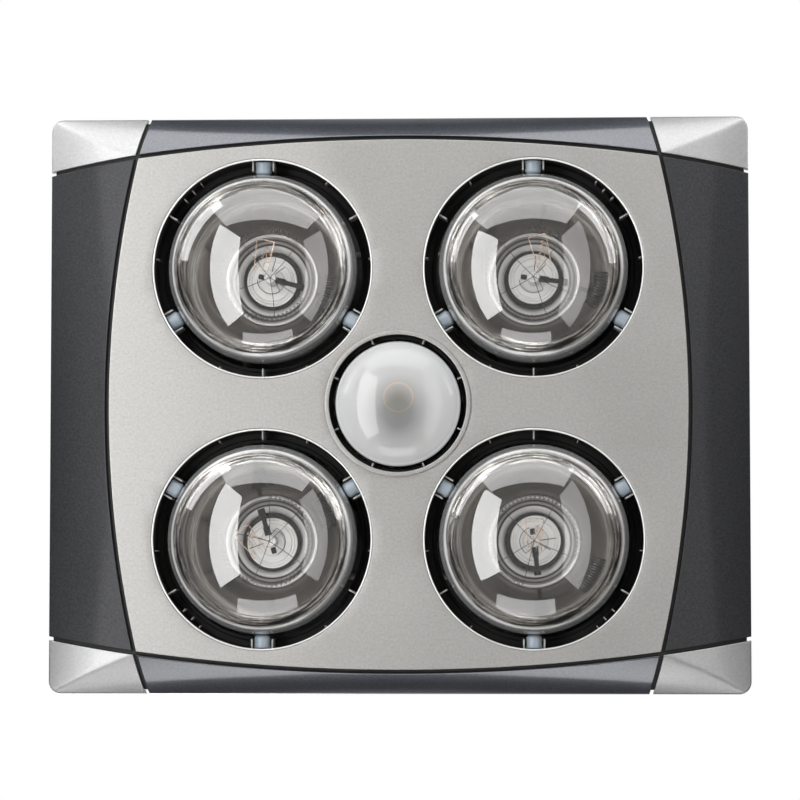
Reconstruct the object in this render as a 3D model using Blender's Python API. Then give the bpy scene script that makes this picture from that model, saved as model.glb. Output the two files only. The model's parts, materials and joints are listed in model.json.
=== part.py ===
# Bathroom ceiling heater: four heat lamps round a centre light, with an exhaust fan above them.
# The ceiling's lower face is z = 0, the room is below it, and the fascia's long side runs along X.
import math

import bmesh
import bpy
from mathutils import Matrix, Vector

# Clearances
FIT = 0.0003
PANEL_SEAT = 0.0005
CUT_OVERRUN = 0.004
FLAT_ANGLE = 0.0005
ROUND_STEPS = 32
MIDDLE_STEPS = 24
SMALL_STEPS = 16
ROD_STEPS = 12
SMOOTH_ANGLE = 35.0

# Heat lamps, from the widest ring of the glass
HEAT_LAMP_RADIUS = 0.0625
HEAT_LAMP_DOME = 0.034
HEAT_LAMP_BODY = 0.088
HEAT_LAMP_NECK_RADIUS = 0.0195
HEAT_LAMP_NECK = 0.027
HEAT_LAMP_SEAT = 0.004
HEAT_LAMP_GAP = 0.0095
LAMP_PROFILE_STEPS = 5
REFLECTOR_BELLY = 3.0
REFLECTOR_POWER = 1.15

# Centre light, from the widest ring of the glass
CENTRE_LAMP_RADIUS = 0.0408
CENTRE_LAMP_DOME = 0.020
CENTRE_LAMP_BODY = 0.052
CENTRE_LAMP_NECK_RADIUS = 0.016
CENTRE_LAMP_NECK = 0.012
CENTRE_LAMP_SEAT = 0.006
CENTRE_LAMP_GAP = 0.0047

# Screw caps and ceramic holders
NECK_TAPER = 0.006
CAP_RADIUS = 0.0132
CAP_LENGTH = 0.0245
CAP_THREAD_DEPTH = 0.0008
CAP_THREADS = 3
CAP_CONTACT_RADIUS = 0.005
CAP_CONTACT = 0.0015
HOLDER_WALL = 0.0065
HOLDER_CLEARANCE = 0.0006
HOLDER_MOUTH_SETBACK = 0.003
HOLDER_BASE = 0.012
HOLDER_FOOT = 0.008
HOLDER_FOOT_LIP = 0.004

# Fascia panels
CENTRE_LAND = 0.007
SIDE_MARGIN = 0.0311
END_MARGIN = 0.0149
SIDE_PANEL_WIDTH = 0.0399
END_STRIP_WIDTH = 0.0151
SIDE_ARC_RADIUS = 0.716
END_ARC_RADIUS = 1.260
FASCIA_HEIGHT = 0.024
FACET_DROP = 0.016
FACET_SLOPE_SHARE = 0.7
FASCIA_CORNER_RADIUS = 0.0083
CORNER_STEPS = 6
PANEL_GAP = 0.0025
PANEL_WALL = 0.0022
SKIRT_WALL = 0.0024
CEILING_CLEARANCE = 0.0005
ARC_STEPS = 8
FACET_SHARES = (0.0, 0.35, 0.7, 1.0)
FACET_OVERRUN_SHARE = 1.08

# Centre light bezel
BEZEL_WALL = 0.0021
BEZEL_LIP = 0.0014
BEZEL_DEPTH = 0.0015
BEZEL_CHAMFER = 0.0007

# Fascia frame with its lamp wells
FRAME_WALL = 0.002
WELL_WALL = 0.002
WELL_SETBACK = 0.0004
WELL_HEIGHT = 0.026
WELL_LEDGE = 0.002
WELL_LEDGE_WIDTH = 0.002
CENTRE_WELL_HEIGHT = 0.012
POST_WIDTH = 0.012
POST_THICKNESS = 0.003
POST_HEIGHT = 0.032

# Silicone bumper pads, three in each lamp well
PADS_PER_WELL = 3
PAD_WIDTH = 0.0102
PAD_DEPTH = 0.012
PAD_SETBACK = 0.001
PAD_CORNER = 0.0022
PAD_CORNER_STEPS = 2

# Sheet-metal housing
SHEET = 0.001
HOUSING_SIDE_MARGIN = 0.0295
HOUSING_END_MARGIN = 0.002
FLANGE_WIDTH = 0.016
VENT_WIDTH = 0.005
VENT_LENGTH = 0.045
VENT_PITCH = 0.016
VENTS_PER_SIDE = 7
VENT_DROP = 0.022

# Spring clips that hold the fascia's posts
CLIP_WIDTH = 0.014
CLIP_SHEET = 0.0008
CLIP_SPACE = 0.008
CLIP_FOOT = 0.006
CLIP_HEIGHT = 0.038
CLIP_CREST = 0.004
CLIP_CONTACT = 0.022
CLIP_LEAN_SHARE = 0.25

# Fan motor and its cross bracket
MOTOR_RADIUS = 0.036
MOTOR_HEIGHT = 0.042
MOTOR_CHAMFER = 0.006
MOTOR_BORE_DEPTH = 0.012
SHAFT_RADIUS = 0.004
CROSS_WIDTH = 0.016
CROSS_SHEET = 0.0015
CROSS_OVERLAP = 0.012

# Fan ring and impeller
IMPELLER_RADIUS = 0.073
IMPELLER_CLEARANCE = 0.003
IMPELLER_LIFT = 0.005
HUB_RADIUS = 0.023
HUB_HEIGHT = 0.030
HUB_CROWN = 0.005
HUB_ROOF = 0.004
BLADES = 7
BLADE_THICKNESS = 0.0016
BLADE_CHORD = 0.040
BLADE_ROOT_ANGLE = 40.0
BLADE_TIP_ANGLE = 24.0
BLADE_ROOT_SINK = 0.002
BLADE_CAMBER = 0.003
BLADE_SPANS = 3
BLADE_CHORDS = 4
FAN_RING_WALL = 0.0012
FAN_RING_HEIGHT = 0.046
FAN_RING_FLANGE = 0.012

# Duct collar with its pair of draught flaps
COLLAR_WALL = 0.002
COLLAR_SOCKET = 0.010
COLLAR_SPIGOT = 0.052
SPIGOT_INSET = 0.003
FLAP_LIFT = 0.010
FLAP_SHEET = 0.0012
FLAP_CLEARANCE = 0.001
FLAP_LEDGE = 0.0018
FLAP_LEDGE_HEIGHT = 0.0015
FLAP_HINGE_GAP = 0.001
ROD_RADIUS = 0.0015
KNUCKLE_RADIUS = 0.003
KNUCKLE_LENGTH = 0.012
KNUCKLE_PITCH = 0.034
KNUCKLE_STAGGER = 0.0085

# Strap that carries the centre light's holder under the motor
STRAP_WIDTH = 0.016
STRAP_SHEET = 0.0012
STRAP_CLEARANCE = 0.008
STRAP_FOOT = 0.014

# Terminal box on the roof of the housing
BOX_LENGTH = 0.070
BOX_WIDTH = 0.090
BOX_HEIGHT = 0.038
BOX_WALL = 0.0015
BOX_EDGE = 0.012
BLOCK_LENGTH = 0.018
BLOCK_WIDTH = 0.048
BLOCK_HEIGHT = 0.014
BLOCK_OFFSET = 0.01125
GLAND_BORE_RADIUS = 0.0045
GLAND_STUB_RADIUS = 0.0078
GLAND_STUB = 0.005
GLAND_NUT_RADIUS = 0.0115
GLAND_NUT = 0.006
GLAND_NUT_SIDES = 6
GLAND_CAP_RADIUS = 0.009
GLAND_CAP = 0.010
GLAND_CAP_SHOULDER = 0.003
GLAND_CAP_MOUTH = 0.002

# Wiring loom and thermal cut-out under the roof of the housing
LOOM_RADIUS = 0.0025
LOOM_BEND = 0.015
LOOM_BEND_STEPS = 5
LOOM_DROP = 0.005
LOOM_ENTRY = 0.0225
LOOM_SIDE_STEPS = 2
GROMMET_CLEARANCE = 0.0015
CUTOUT_RADIUS = 0.009
CUTOUT_HEIGHT = 0.007
CUTOUT_EDGE = 0.060

# Places worked out from the sizes above
LAMP_HOLE_RADIUS = HEAT_LAMP_RADIUS + HEAT_LAMP_GAP
CENTRE_OPENING_RADIUS = CENTRE_LAMP_RADIUS + CENTRE_LAMP_GAP
CENTRE_HOLE_RADIUS = CENTRE_OPENING_RADIUS + BEZEL_WALL + FIT
LAMP_OFFSET = (LAMP_HOLE_RADIUS + CENTRE_LAND + CENTRE_HOLE_RADIUS) / math.sqrt(2)
CENTRE_HALF_LENGTH = LAMP_OFFSET + LAMP_HOLE_RADIUS + SIDE_MARGIN
CENTRE_HALF_WIDTH = LAMP_OFFSET + LAMP_HOLE_RADIUS + END_MARGIN
HALF_LENGTH = CENTRE_HALF_LENGTH + SIDE_PANEL_WIDTH
HALF_WIDTH = CENTRE_HALF_WIDTH + END_STRIP_WIDTH
FRONT_Z = -FASCIA_HEIGHT
FRAME_OFFSET = PANEL_WALL + PANEL_SEAT
FRAME_BACK_Z = FRONT_Z + FRAME_OFFSET + FRAME_WALL
WELL_RADIUS = LAMP_HOLE_RADIUS + FIT
CENTRE_WELL_RADIUS = CENTRE_OPENING_RADIUS + FIT
HEAT_RIM_Z = FRONT_Z + HEAT_LAMP_SEAT
CENTRE_RIM_Z = FRONT_Z + CENTRE_LAMP_SEAT
HEAT_CAP_Z = HEAT_RIM_Z + HEAT_LAMP_BODY + HEAT_LAMP_NECK + NECK_TAPER
CENTRE_CAP_Z = CENTRE_RIM_Z + CENTRE_LAMP_BODY + CENTRE_LAMP_NECK + NECK_TAPER
CAP_FULL_LENGTH = CAP_LENGTH + CAP_CONTACT
HOLDER_BORE_RADIUS = CAP_RADIUS + HOLDER_CLEARANCE
HOLDER_RADIUS = HOLDER_BORE_RADIUS + HOLDER_WALL
HOLDER_FOOT_RADIUS = HOLDER_RADIUS + HOLDER_FOOT_LIP
HEAT_HOLDER_TOP_Z = HEAT_CAP_Z + CAP_FULL_LENGTH + FIT + HOLDER_BASE
CENTRE_HOLDER_TOP_Z = CENTRE_CAP_Z + CAP_FULL_LENGTH + FIT + HOLDER_BASE
ROOF_Z = HEAT_HOLDER_TOP_Z + FIT
ROOF_TOP_Z = ROOF_Z + SHEET
INNER_HALF_LENGTH = LAMP_OFFSET + WELL_RADIUS + WELL_WALL + HOUSING_SIDE_MARGIN
INNER_HALF_WIDTH = LAMP_OFFSET + WELL_RADIUS + WELL_WALL + HOUSING_END_MARGIN
OUTER_HALF_LENGTH = INNER_HALF_LENGTH + SHEET
OUTER_HALF_WIDTH = INNER_HALF_WIDTH + SHEET
FAN_RADIUS = IMPELLER_RADIUS + IMPELLER_CLEARANCE
FAN_RING_RADIUS = FAN_RADIUS + FAN_RING_WALL
FAN_RING_Z = ROOF_TOP_Z + FIT
FAN_RING_TOP_Z = FAN_RING_Z + FAN_RING_HEIGHT
CROSS_TOP_Z = ROOF_Z - FIT
CROSS_Z = CROSS_TOP_Z - CROSS_SHEET
MOTOR_TOP_Z = CROSS_Z - FIT
MOTOR_Z = MOTOR_TOP_Z - MOTOR_HEIGHT
STRAP_Z = CENTRE_HOLDER_TOP_Z + FIT
HUB_Z = ROOF_TOP_Z + IMPELLER_LIFT
HUB_TOP_Z = HUB_Z + HUB_HEIGHT
SPIGOT_BORE_RADIUS = FAN_RADIUS - SPIGOT_INSET
COLLAR_STEP_Z = FAN_RING_TOP_Z + FIT
SPIGOT_TOP_Z = COLLAR_STEP_Z + COLLAR_SPIGOT
FLAP_Z = COLLAR_STEP_Z + FLAP_LIFT
FLAP_RADIUS = SPIGOT_BORE_RADIUS - FLAP_CLEARANCE
BOX_X = OUTER_HALF_LENGTH - BOX_EDGE - BOX_LENGTH / 2
BOX_Z = ROOF_TOP_Z + FIT
BOX_TOP_Z = BOX_Z + BOX_HEIGHT
LAMP_PLACES = {
    "front_left": (-LAMP_OFFSET, -LAMP_OFFSET),
    "front_right": (LAMP_OFFSET, -LAMP_OFFSET),
    "back_left": (-LAMP_OFFSET, LAMP_OFFSET),
    "back_right": (LAMP_OFFSET, LAMP_OFFSET),
}


def clear_scene():
    for item in list(bpy.data.objects):
        bpy.data.objects.remove(item)


def make_material(name, colour, roughness, metallic=0.0):
    material = bpy.data.materials.new(name)
    material.use_nodes = True
    shader = material.node_tree.nodes["Principled BSDF"]
    shader.inputs["Base Color"].default_value = (*colour, 1.0)
    shader.inputs["Roughness"].default_value = roughness
    shader.inputs["Metallic"].default_value = metallic
    material.diffuse_color = (*colour, 1.0)
    return material


def add_object(name, vertices, faces, material=None, smooth=False):
    """Make a closed mesh object with its faces pointing out, and flat areas as single faces."""
    mesh = bpy.data.meshes.new(name)
    mesh.from_pydata(vertices, [], faces)
    shape = bmesh.new()
    shape.from_mesh(mesh)
    bmesh.ops.recalc_face_normals(shape, faces=shape.faces)
    bmesh.ops.dissolve_limit(shape, angle_limit=FLAT_ANGLE, verts=shape.verts, edges=shape.edges)
    shape.to_mesh(mesh)
    shape.free()
    if smooth:
        mesh.shade_smooth()
        mesh.set_sharp_from_angle(angle=math.radians(SMOOTH_ANGLE))
    item = bpy.data.objects.new(name, mesh)
    bpy.context.scene.collection.objects.link(item)
    if material is not None:
        mesh.materials.append(material)
    return item


def add_guide(name, vertices, faces):
    """Make a closed shape that only cuts, joins or trims another piece."""
    item = add_object(name, vertices, faces)
    item.hide_render = True
    item.display_type = "WIRE"
    return item


def combine(item, guide, operation):
    modifier = item.modifiers.new(guide.name, "BOOLEAN")
    modifier.operation = operation
    modifier.solver = "EXACT"
    modifier.object = guide


def prism_shape(outline, low, high, matrix=None):
    """Vertices and faces of an outline pulled from one height to another."""
    place = matrix or Matrix.Identity(4)
    count = len(outline)
    vertices = [place @ Vector((x, y, low)) for x, y in outline]
    vertices += [place @ Vector((x, y, high)) for x, y in outline]
    faces = [list(range(count)), list(range(2 * count - 1, count - 1, -1))]
    for index in range(count):
        following = (index + 1) % count
        faces.append([index, index + count, following + count, following])
    return vertices, faces


def box_shape(centre, size):
    x, y, z = centre
    half_x, half_y, half_z = (side / 2 for side in size)
    outline = [
        (x - half_x, y - half_y),
        (x + half_x, y - half_y),
        (x + half_x, y + half_y),
        (x - half_x, y + half_y),
    ]
    return prism_shape(outline, z - half_z, z + half_z)


def turned_shape(profile, matrix=None, steps=ROUND_STEPS):
    """Turn a closed profile of (radius, height) points about the Z axis."""
    place = matrix or Matrix.Identity(4)
    vertices = []
    rings = []
    for radius, height in profile:
        if radius == 0:
            rings.append([len(vertices)] * steps)
            vertices.append(place @ Vector((0, 0, height)))
            continue
        rings.append([len(vertices) + step for step in range(steps)])
        for step in range(steps):
            angle = 2 * math.pi * step / steps
            point = Vector((radius * math.cos(angle), radius * math.sin(angle), height))
            vertices.append(place @ point)
    faces = []
    for index, ring in enumerate(rings):
        upper = rings[(index + 1) % len(rings)]
        for step in range(steps):
            turn = (step + 1) % steps
            corners = [ring[step], ring[turn], upper[turn], upper[step]]
            face = list(dict.fromkeys(corners))
            if len(face) > 2:
                faces.append(face)
    return vertices, faces


def merge_shapes(shapes):
    """Several closed shapes as one list of vertices and faces."""
    vertices = []
    faces = []
    for shape_vertices, shape_faces in shapes:
        start = len(vertices)
        vertices += shape_vertices
        faces += [[start + index for index in face] for face in shape_faces]
    return vertices, faces


def cylinder_shape(radius, low, high, matrix=None, steps=ROUND_STEPS):
    return turned_shape([(0, low), (radius, low), (radius, high), (0, high)], matrix, steps)


def shift(x, y, z=0):
    return Matrix.Translation((x, y, z))


def rounded_outline(half_length, half_width, radius, steps=CORNER_STEPS):
    """Rectangle with round corners, counter-clockwise."""
    points = []
    for quarter, (side_x, side_y) in enumerate(((1, 1), (-1, 1), (-1, -1), (1, -1))):
        for step in range(steps + 1):
            angle = math.pi / 2 * (quarter + step / steps)
            x = side_x * (half_length - radius) + radius * math.cos(angle)
            y = side_y * (half_width - radius) + radius * math.sin(angle)
            points.append((x, y))
    return points


def side_edge(y):
    """Half length of the centre panel at y, to the middle of the gap."""
    return CENTRE_HALF_LENGTH - SIDE_ARC_RADIUS + math.sqrt(SIDE_ARC_RADIUS ** 2 - y ** 2)


def end_edge(x):
    """Half width of the centre panel at x, to the middle of the gap."""
    return CENTRE_HALF_WIDTH - END_ARC_RADIUS + math.sqrt(END_ARC_RADIUS ** 2 - x ** 2)


def facet_height(x, y):
    """How far the visible face has fallen back towards the ceiling at a place."""
    side_run = (abs(x) - side_edge(y)) / (HALF_LENGTH - side_edge(y))
    end_run = (abs(y) - end_edge(x)) / (HALF_WIDTH - end_edge(x))
    run = max(side_run, end_run, 0.0)
    return FACET_DROP * (FACET_SLOPE_SHARE * run + (1 - FACET_SLOPE_SHARE) * run ** 3)


def along_axis(zone, share, edge, outer, gap):
    """Place on one axis: zone 0 spans the centre panel, zones -1 and 1 run outwards from its edge."""
    if zone == 0:
        return (2 * share - 1) * (edge - gap / 2)
    return zone * max(edge + gap / 2, edge + share * (outer - edge))


def fascia_place(column, row, gap):
    """Plan position of a grid line crossing, which follows the curved gaps."""
    x = 0.0
    y = 0.0
    for _ in range(ARC_STEPS):
        x = along_axis(*column, side_edge(y), HALF_LENGTH, gap)
        y = along_axis(*row, end_edge(x), HALF_WIDTH, gap)
    return x, y


def zone_lines(zone):
    if zone == 0:
        return [(0, step / ARC_STEPS) for step in range(ARC_STEPS + 1)]
    return [(zone, share) for share in (*FACET_SHARES, FACET_OVERRUN_SHARE)]


def fascia_block(columns, rows, gap, offset, back):
    """Closed block between the visible face, set back by an offset, and a flat back."""
    vertices = []
    for column in columns:
        for row in rows:
            x, y = fascia_place(column, row, gap)
            vertices.append(Vector((x, y, FRONT_Z + offset + facet_height(x, y))))
    front = len(vertices)
    vertices += [Vector((point.x, point.y, back)) for point in vertices]
    wide = len(rows)
    faces = []
    for index in range(len(columns) - 1):
        for place in range(wide - 1):
            start = index * wide + place
            corners = [start, start + wide, start + wide + 1, start + 1]
            heights = [vertices[corner].z for corner in corners]
            if heights[0] + heights[2] > heights[1] + heights[3]:
                corners = corners[1:] + corners[:1]
            faces.append([corners[0], corners[1], corners[2]])
            faces.append([corners[0], corners[2], corners[3]])
            faces.append([corner + front for corner in corners])
    rim = [index * wide for index in range(len(columns))]
    rim += [(len(columns) - 1) * wide + place for place in range(1, wide)]
    rim += [index * wide + wide - 1 for index in range(len(columns) - 2, -1, -1)]
    rim += [place for place in range(wide - 2, 0, -1)]
    for index, corner in enumerate(rim):
        following = rim[(index + 1) % len(rim)]
        faces.append([corner, following, following + front, corner + front])
    return vertices, faces


def outline_guide(name, inset):
    outline = rounded_outline(HALF_LENGTH - inset, HALF_WIDTH - inset, FASCIA_CORNER_RADIUS - inset)
    return add_guide(name, *prism_shape(outline, FRONT_Z - CUT_OVERRUN, CUT_OVERRUN))


def fascia_hollow(name, offset, inset):
    """The space behind the whole fascia's face and inside its outline, both set back."""
    lines = zone_lines(-1)[::-1] + zone_lines(0)[1:-1] + zone_lines(1)
    hollow = add_guide(name, *fascia_block(lines, lines, 0.0, offset, CUT_OVERRUN))
    combine(hollow, outline_guide(name + "_outline", inset), "INTERSECT")
    return hollow


def make_outer_panel(name, zone_x, zone_y, guides, material):
    """A side panel, end strip or corner cap: a thin skin with a skirt at the outline."""
    shape = fascia_block(zone_lines(zone_x), zone_lines(zone_y), PANEL_GAP, 0.0, -CEILING_CLEARANCE)
    panel = add_object(name, *shape, material)
    combine(panel, guides["outline"], "INTERSECT")
    combine(panel, guides["hollow"], "DIFFERENCE")
    return panel


def make_outer_panels(materials):
    guides = {
        "outline": outline_guide("fascia_outline", 0.0),
        "hollow": fascia_hollow("panel_hollow", PANEL_WALL, SKIRT_WALL),
    }
    panels = [
        make_outer_panel("side_panel_left", -1, 0, guides, materials["charcoal"]),
        make_outer_panel("side_panel_right", 1, 0, guides, materials["charcoal"]),
        make_outer_panel("end_strip_front", 0, -1, guides, materials["slate"]),
        make_outer_panel("end_strip_back", 0, 1, guides, materials["slate"]),
    ]
    for place, (x, y) in LAMP_PLACES.items():
        zones = (int(math.copysign(1, x)), int(math.copysign(1, y)))
        panels.append(make_outer_panel("corner_cap_" + place, *zones, guides, materials["silver"]))
    return panels


def centre_outline():
    """Outline of the centre panel: four shallow arcs meeting at the corners."""
    lines = [(0, step / ARC_STEPS) for step in range(ARC_STEPS)]
    back = [(0, 1 - step / ARC_STEPS) for step in range(ARC_STEPS)]
    low = (0, 0.0)
    high = (0, 1.0)
    places = [(column, low) for column in lines]
    places += [(high, row) for row in lines]
    places += [(column, high) for column in back]
    places += [(low, row) for row in back]
    return [fascia_place(column, row, PANEL_GAP) for column, row in places]


def lamp_cylinders(radius, low, high):
    return [cylinder_shape(radius, low, high, shift(x, y)) for x, y in LAMP_PLACES.values()]


def make_centre_panel(material):
    plate = prism_shape(centre_outline(), FRONT_Z, FRONT_Z + PANEL_WALL)
    panel = add_object("centre_panel", *plate, material)
    low = FRONT_Z - CUT_OVERRUN
    holes = lamp_cylinders(LAMP_HOLE_RADIUS, low, 0.0)
    holes.append(cylinder_shape(CENTRE_HOLE_RADIUS, low, 0.0))
    combine(panel, add_guide("panel_holes", *merge_shapes(holes)), "DIFFERENCE")
    return panel


def make_bezel(material):
    outer = CENTRE_OPENING_RADIUS + BEZEL_WALL
    low = FRONT_Z - BEZEL_LIP
    high = FRONT_Z + BEZEL_DEPTH
    profile = [
        (CENTRE_OPENING_RADIUS, high),
        (CENTRE_OPENING_RADIUS, low + BEZEL_CHAMFER),
        (CENTRE_OPENING_RADIUS + BEZEL_CHAMFER, low),
        (outer - BEZEL_CHAMFER, low),
        (outer, low + BEZEL_CHAMFER),
        (outer, high),
    ]
    return add_object("centre_bezel", *turned_shape(profile), material, smooth=True)


def well_profile(radius, height):
    """Wall of a lamp well, which turns in to a narrow ledge at its top."""
    low = FRONT_Z + FRAME_OFFSET + WELL_SETBACK
    high = low + height
    ledge_radius = radius - WELL_LEDGE_WIDTH
    return [
        (radius, low),
        (radius + WELL_WALL, low),
        (radius + WELL_WALL, high),
        (ledge_radius, high),
        (ledge_radius, high - WELL_LEDGE),
        (radius, high - WELL_LEDGE),
    ]


def make_wells(material):
    """The rings round the five lamps, each set in its own hole of the frame."""
    profile = well_profile(WELL_RADIUS, WELL_HEIGHT)
    wells = []
    for place, (x, y) in LAMP_PLACES.items():
        shape = turned_shape(profile, shift(x, y))
        wells.append(add_object("lamp_well_" + place, *shape, material, smooth=True))
    profile = well_profile(CENTRE_WELL_RADIUS, CENTRE_WELL_HEIGHT)
    wells.append(add_object("centre_well", *turned_shape(profile), material, smooth=True))
    return wells


def post_places():
    """Centres of the four posts, one beside the middle of each housing wall."""
    side = INNER_HALF_LENGTH - CLIP_SPACE
    end = INNER_HALF_WIDTH - CLIP_SPACE
    return {"left": (-side, 0.0), "right": (side, 0.0), "front": (0.0, -end), "back": (0.0, end)}


def make_fascia_frame(material):
    """The black moulding behind the panels, with holes for its wells, and its retaining posts."""
    inset = SKIRT_WALL + PANEL_SEAT
    back = -SHEET - CEILING_CLEARANCE
    outline = rounded_outline(HALF_LENGTH - inset, HALF_WIDTH - inset, FASCIA_CORNER_RADIUS - inset)
    frame = add_object("fascia_frame", *prism_shape(outline, FRONT_Z, back), material)
    face = fascia_hollow("frame_face", FRAME_OFFSET, inset - FRAME_WALL)
    hollow = fascia_hollow("frame_hollow", FRAME_OFFSET + FRAME_WALL, inset + FRAME_WALL)
    combine(frame, face, "INTERSECT")
    combine(frame, hollow, "DIFFERENCE")
    low = FRONT_Z - CUT_OVERRUN
    holes = lamp_cylinders(WELL_RADIUS + WELL_WALL + FIT, low, 0.0)
    holes.append(cylinder_shape(CENTRE_WELL_RADIUS + WELL_WALL + FIT, low, 0.0))
    combine(frame, add_guide("frame_holes", *merge_shapes(holes)), "DIFFERENCE")
    posts = []
    low = FRAME_BACK_Z - FRAME_WALL / 2
    for x, y in post_places().values():
        size = (POST_THICKNESS, POST_WIDTH) if y == 0 else (POST_WIDTH, POST_THICKNESS)
        posts.append(box_shape((x, y, (low + POST_HEIGHT) / 2), (*size, POST_HEIGHT - low)))
    combine(frame, add_guide("frame_posts", *merge_shapes(posts)), "UNION")
    return frame


def make_pads(material):
    """Three silicone pads round each lamp, the first one on the side away from the other row."""
    pads = []
    inner = HEAT_LAMP_RADIUS + FIT
    outer = LAMP_HOLE_RADIUS - FIT
    low = FRONT_Z + FRAME_OFFSET + PAD_SETBACK
    outline = rounded_outline(PAD_WIDTH / 2, PAD_DEPTH / 2, PAD_CORNER, PAD_CORNER_STEPS)
    for place, (x, y) in LAMP_PLACES.items():
        for number in range(PADS_PER_WELL):
            angle = math.copysign(math.pi / 2, y) + 2 * math.pi * number / PADS_PER_WELL
            turn = Matrix.Rotation(angle, 4, "Z")
            stand = Matrix.Rotation(math.pi / 2, 4, "Z") @ Matrix.Rotation(math.pi / 2, 4, "X")
            matrix = shift(x, y, low + PAD_DEPTH / 2) @ turn @ stand
            name = f"bumper_pad_{place}_{number + 1}"
            pads.append(add_object(name, *prism_shape(outline, inner, outer, matrix), material))
    return pads


def glass_profile(radius, dome, body, neck_radius, neck, rim):
    """Profile of a reflector lamp's glass from the front of its dome to its cap."""
    profile = [(0, rim - dome)]
    for step in range(1, LAMP_PROFILE_STEPS + 1):
        angle = math.pi / 2 * step / LAMP_PROFILE_STEPS
        profile.append((radius * math.sin(angle), rim - dome * math.cos(angle)))
    for step in range(1, LAMP_PROFILE_STEPS + 1):
        share = step / LAMP_PROFILE_STEPS
        narrowing = (1 - share ** REFLECTOR_BELLY) ** REFLECTOR_POWER
        profile.append((neck_radius + (radius - neck_radius) * narrowing, rim + body * share))
    profile.append((neck_radius, rim + body + neck))
    return profile


def cap_profile(low):
    """Screw cap with its thread as rings, and the contact at its end."""
    profile = [(CAP_RADIUS, low)]
    pitch = CAP_LENGTH / (CAP_THREADS + 1)
    for thread in range(CAP_THREADS):
        start = low + pitch * thread + pitch / 2
        profile.append((CAP_RADIUS - CAP_THREAD_DEPTH, start))
        profile.append((CAP_RADIUS, start + pitch / 2))
    profile.append((CAP_RADIUS - CAP_THREAD_DEPTH, low + CAP_LENGTH))
    profile.append((CAP_CONTACT_RADIUS, low + CAP_LENGTH))
    profile.append((CAP_CONTACT_RADIUS, low + CAP_FULL_LENGTH))
    profile.append((0, low + CAP_FULL_LENGTH))
    return profile


def holder_profile(cap_low, top):
    mouth = cap_low + HOLDER_MOUTH_SETBACK
    seat = top - HOLDER_BASE
    return [
        (HOLDER_BORE_RADIUS, mouth),
        (HOLDER_RADIUS, mouth),
        (HOLDER_RADIUS, top - HOLDER_FOOT),
        (HOLDER_FOOT_RADIUS, top - HOLDER_FOOT),
        (HOLDER_FOOT_RADIUS, top),
        (0, top),
        (0, seat),
        (HOLDER_BORE_RADIUS, seat),
    ]


def make_lamp(name, holder_name, place, glass, cap_low, holder_top, materials):
    """A lamp, whose glass and screw cap are cemented into one piece, and its holder."""
    matrix = shift(*place)
    profile = glass + cap_profile(cap_low)
    glass_material = materials["frosted_glass" if name == "centre_lamp" else "lamp_glass"]
    add_object(name, *turned_shape(profile, matrix), glass_material, smooth=True)
    holder_shape = turned_shape(holder_profile(cap_low, holder_top), matrix, SMALL_STEPS)
    add_object(holder_name, *holder_shape, materials["ceramic"], smooth=True)


def make_lamps(materials):
    glass = glass_profile(HEAT_LAMP_RADIUS, HEAT_LAMP_DOME, HEAT_LAMP_BODY, HEAT_LAMP_NECK_RADIUS,
                          HEAT_LAMP_NECK, HEAT_RIM_Z)
    for place, position in LAMP_PLACES.items():
        make_lamp("heat_lamp_" + place, "lamp_holder_" + place, position, glass, HEAT_CAP_Z,
                  HEAT_HOLDER_TOP_Z, materials)
    glass = glass_profile(CENTRE_LAMP_RADIUS, CENTRE_LAMP_DOME, CENTRE_LAMP_BODY, CENTRE_LAMP_NECK_RADIUS,
                          CENTRE_LAMP_NECK, CENTRE_RIM_Z)
    make_lamp("centre_lamp", "centre_lamp_holder", (0.0, 0.0), glass, CENTRE_CAP_Z, CENTRE_HOLDER_TOP_Z,
              materials)


def vent_shapes():
    """Upright slots high in the four walls."""
    shapes = []
    middle = ROOF_Z - VENT_DROP - VENT_LENGTH / 2
    depth = 2 * (SHEET + CUT_OVERRUN)
    for number in range(VENTS_PER_SIDE):
        along = VENT_PITCH * (number - (VENTS_PER_SIDE - 1) / 2)
        for side in (-1, 1):
            place = (along, side * INNER_HALF_WIDTH, middle)
            shapes.append(box_shape(place, (VENT_WIDTH, depth, VENT_LENGTH)))
            place = (side * INNER_HALF_LENGTH, along, middle)
            shapes.append(box_shape(place, (depth, VENT_WIDTH, VENT_LENGTH)))
    return shapes


def make_housing(material):
    """Four folded sheet-metal walls with a flange that lies against the ceiling."""
    height = ROOF_Z - FIT
    walls = box_shape((0.0, 0.0, height / 2), (2 * OUTER_HALF_LENGTH, 2 * OUTER_HALF_WIDTH, height))
    shell = add_object("housing_shell", *walls, material)
    flange_size = (2 * (OUTER_HALF_LENGTH + FLANGE_WIDTH), 2 * (OUTER_HALF_WIDTH + FLANGE_WIDTH), SHEET)
    flange = add_guide("housing_flange", *box_shape((0.0, 0.0, -SHEET / 2), flange_size))
    combine(shell, flange, "UNION")
    low = -SHEET - CUT_OVERRUN
    high = ROOF_Z + CUT_OVERRUN
    inside_size = (2 * INNER_HALF_LENGTH, 2 * INNER_HALF_WIDTH, high - low)
    inside = add_guide("housing_inside", *box_shape((0.0, 0.0, (high + low) / 2), inside_size))
    combine(shell, inside, "DIFFERENCE")
    combine(shell, add_guide("housing_vents", *merge_shapes(vent_shapes())), "DIFFERENCE")
    return shell


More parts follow.
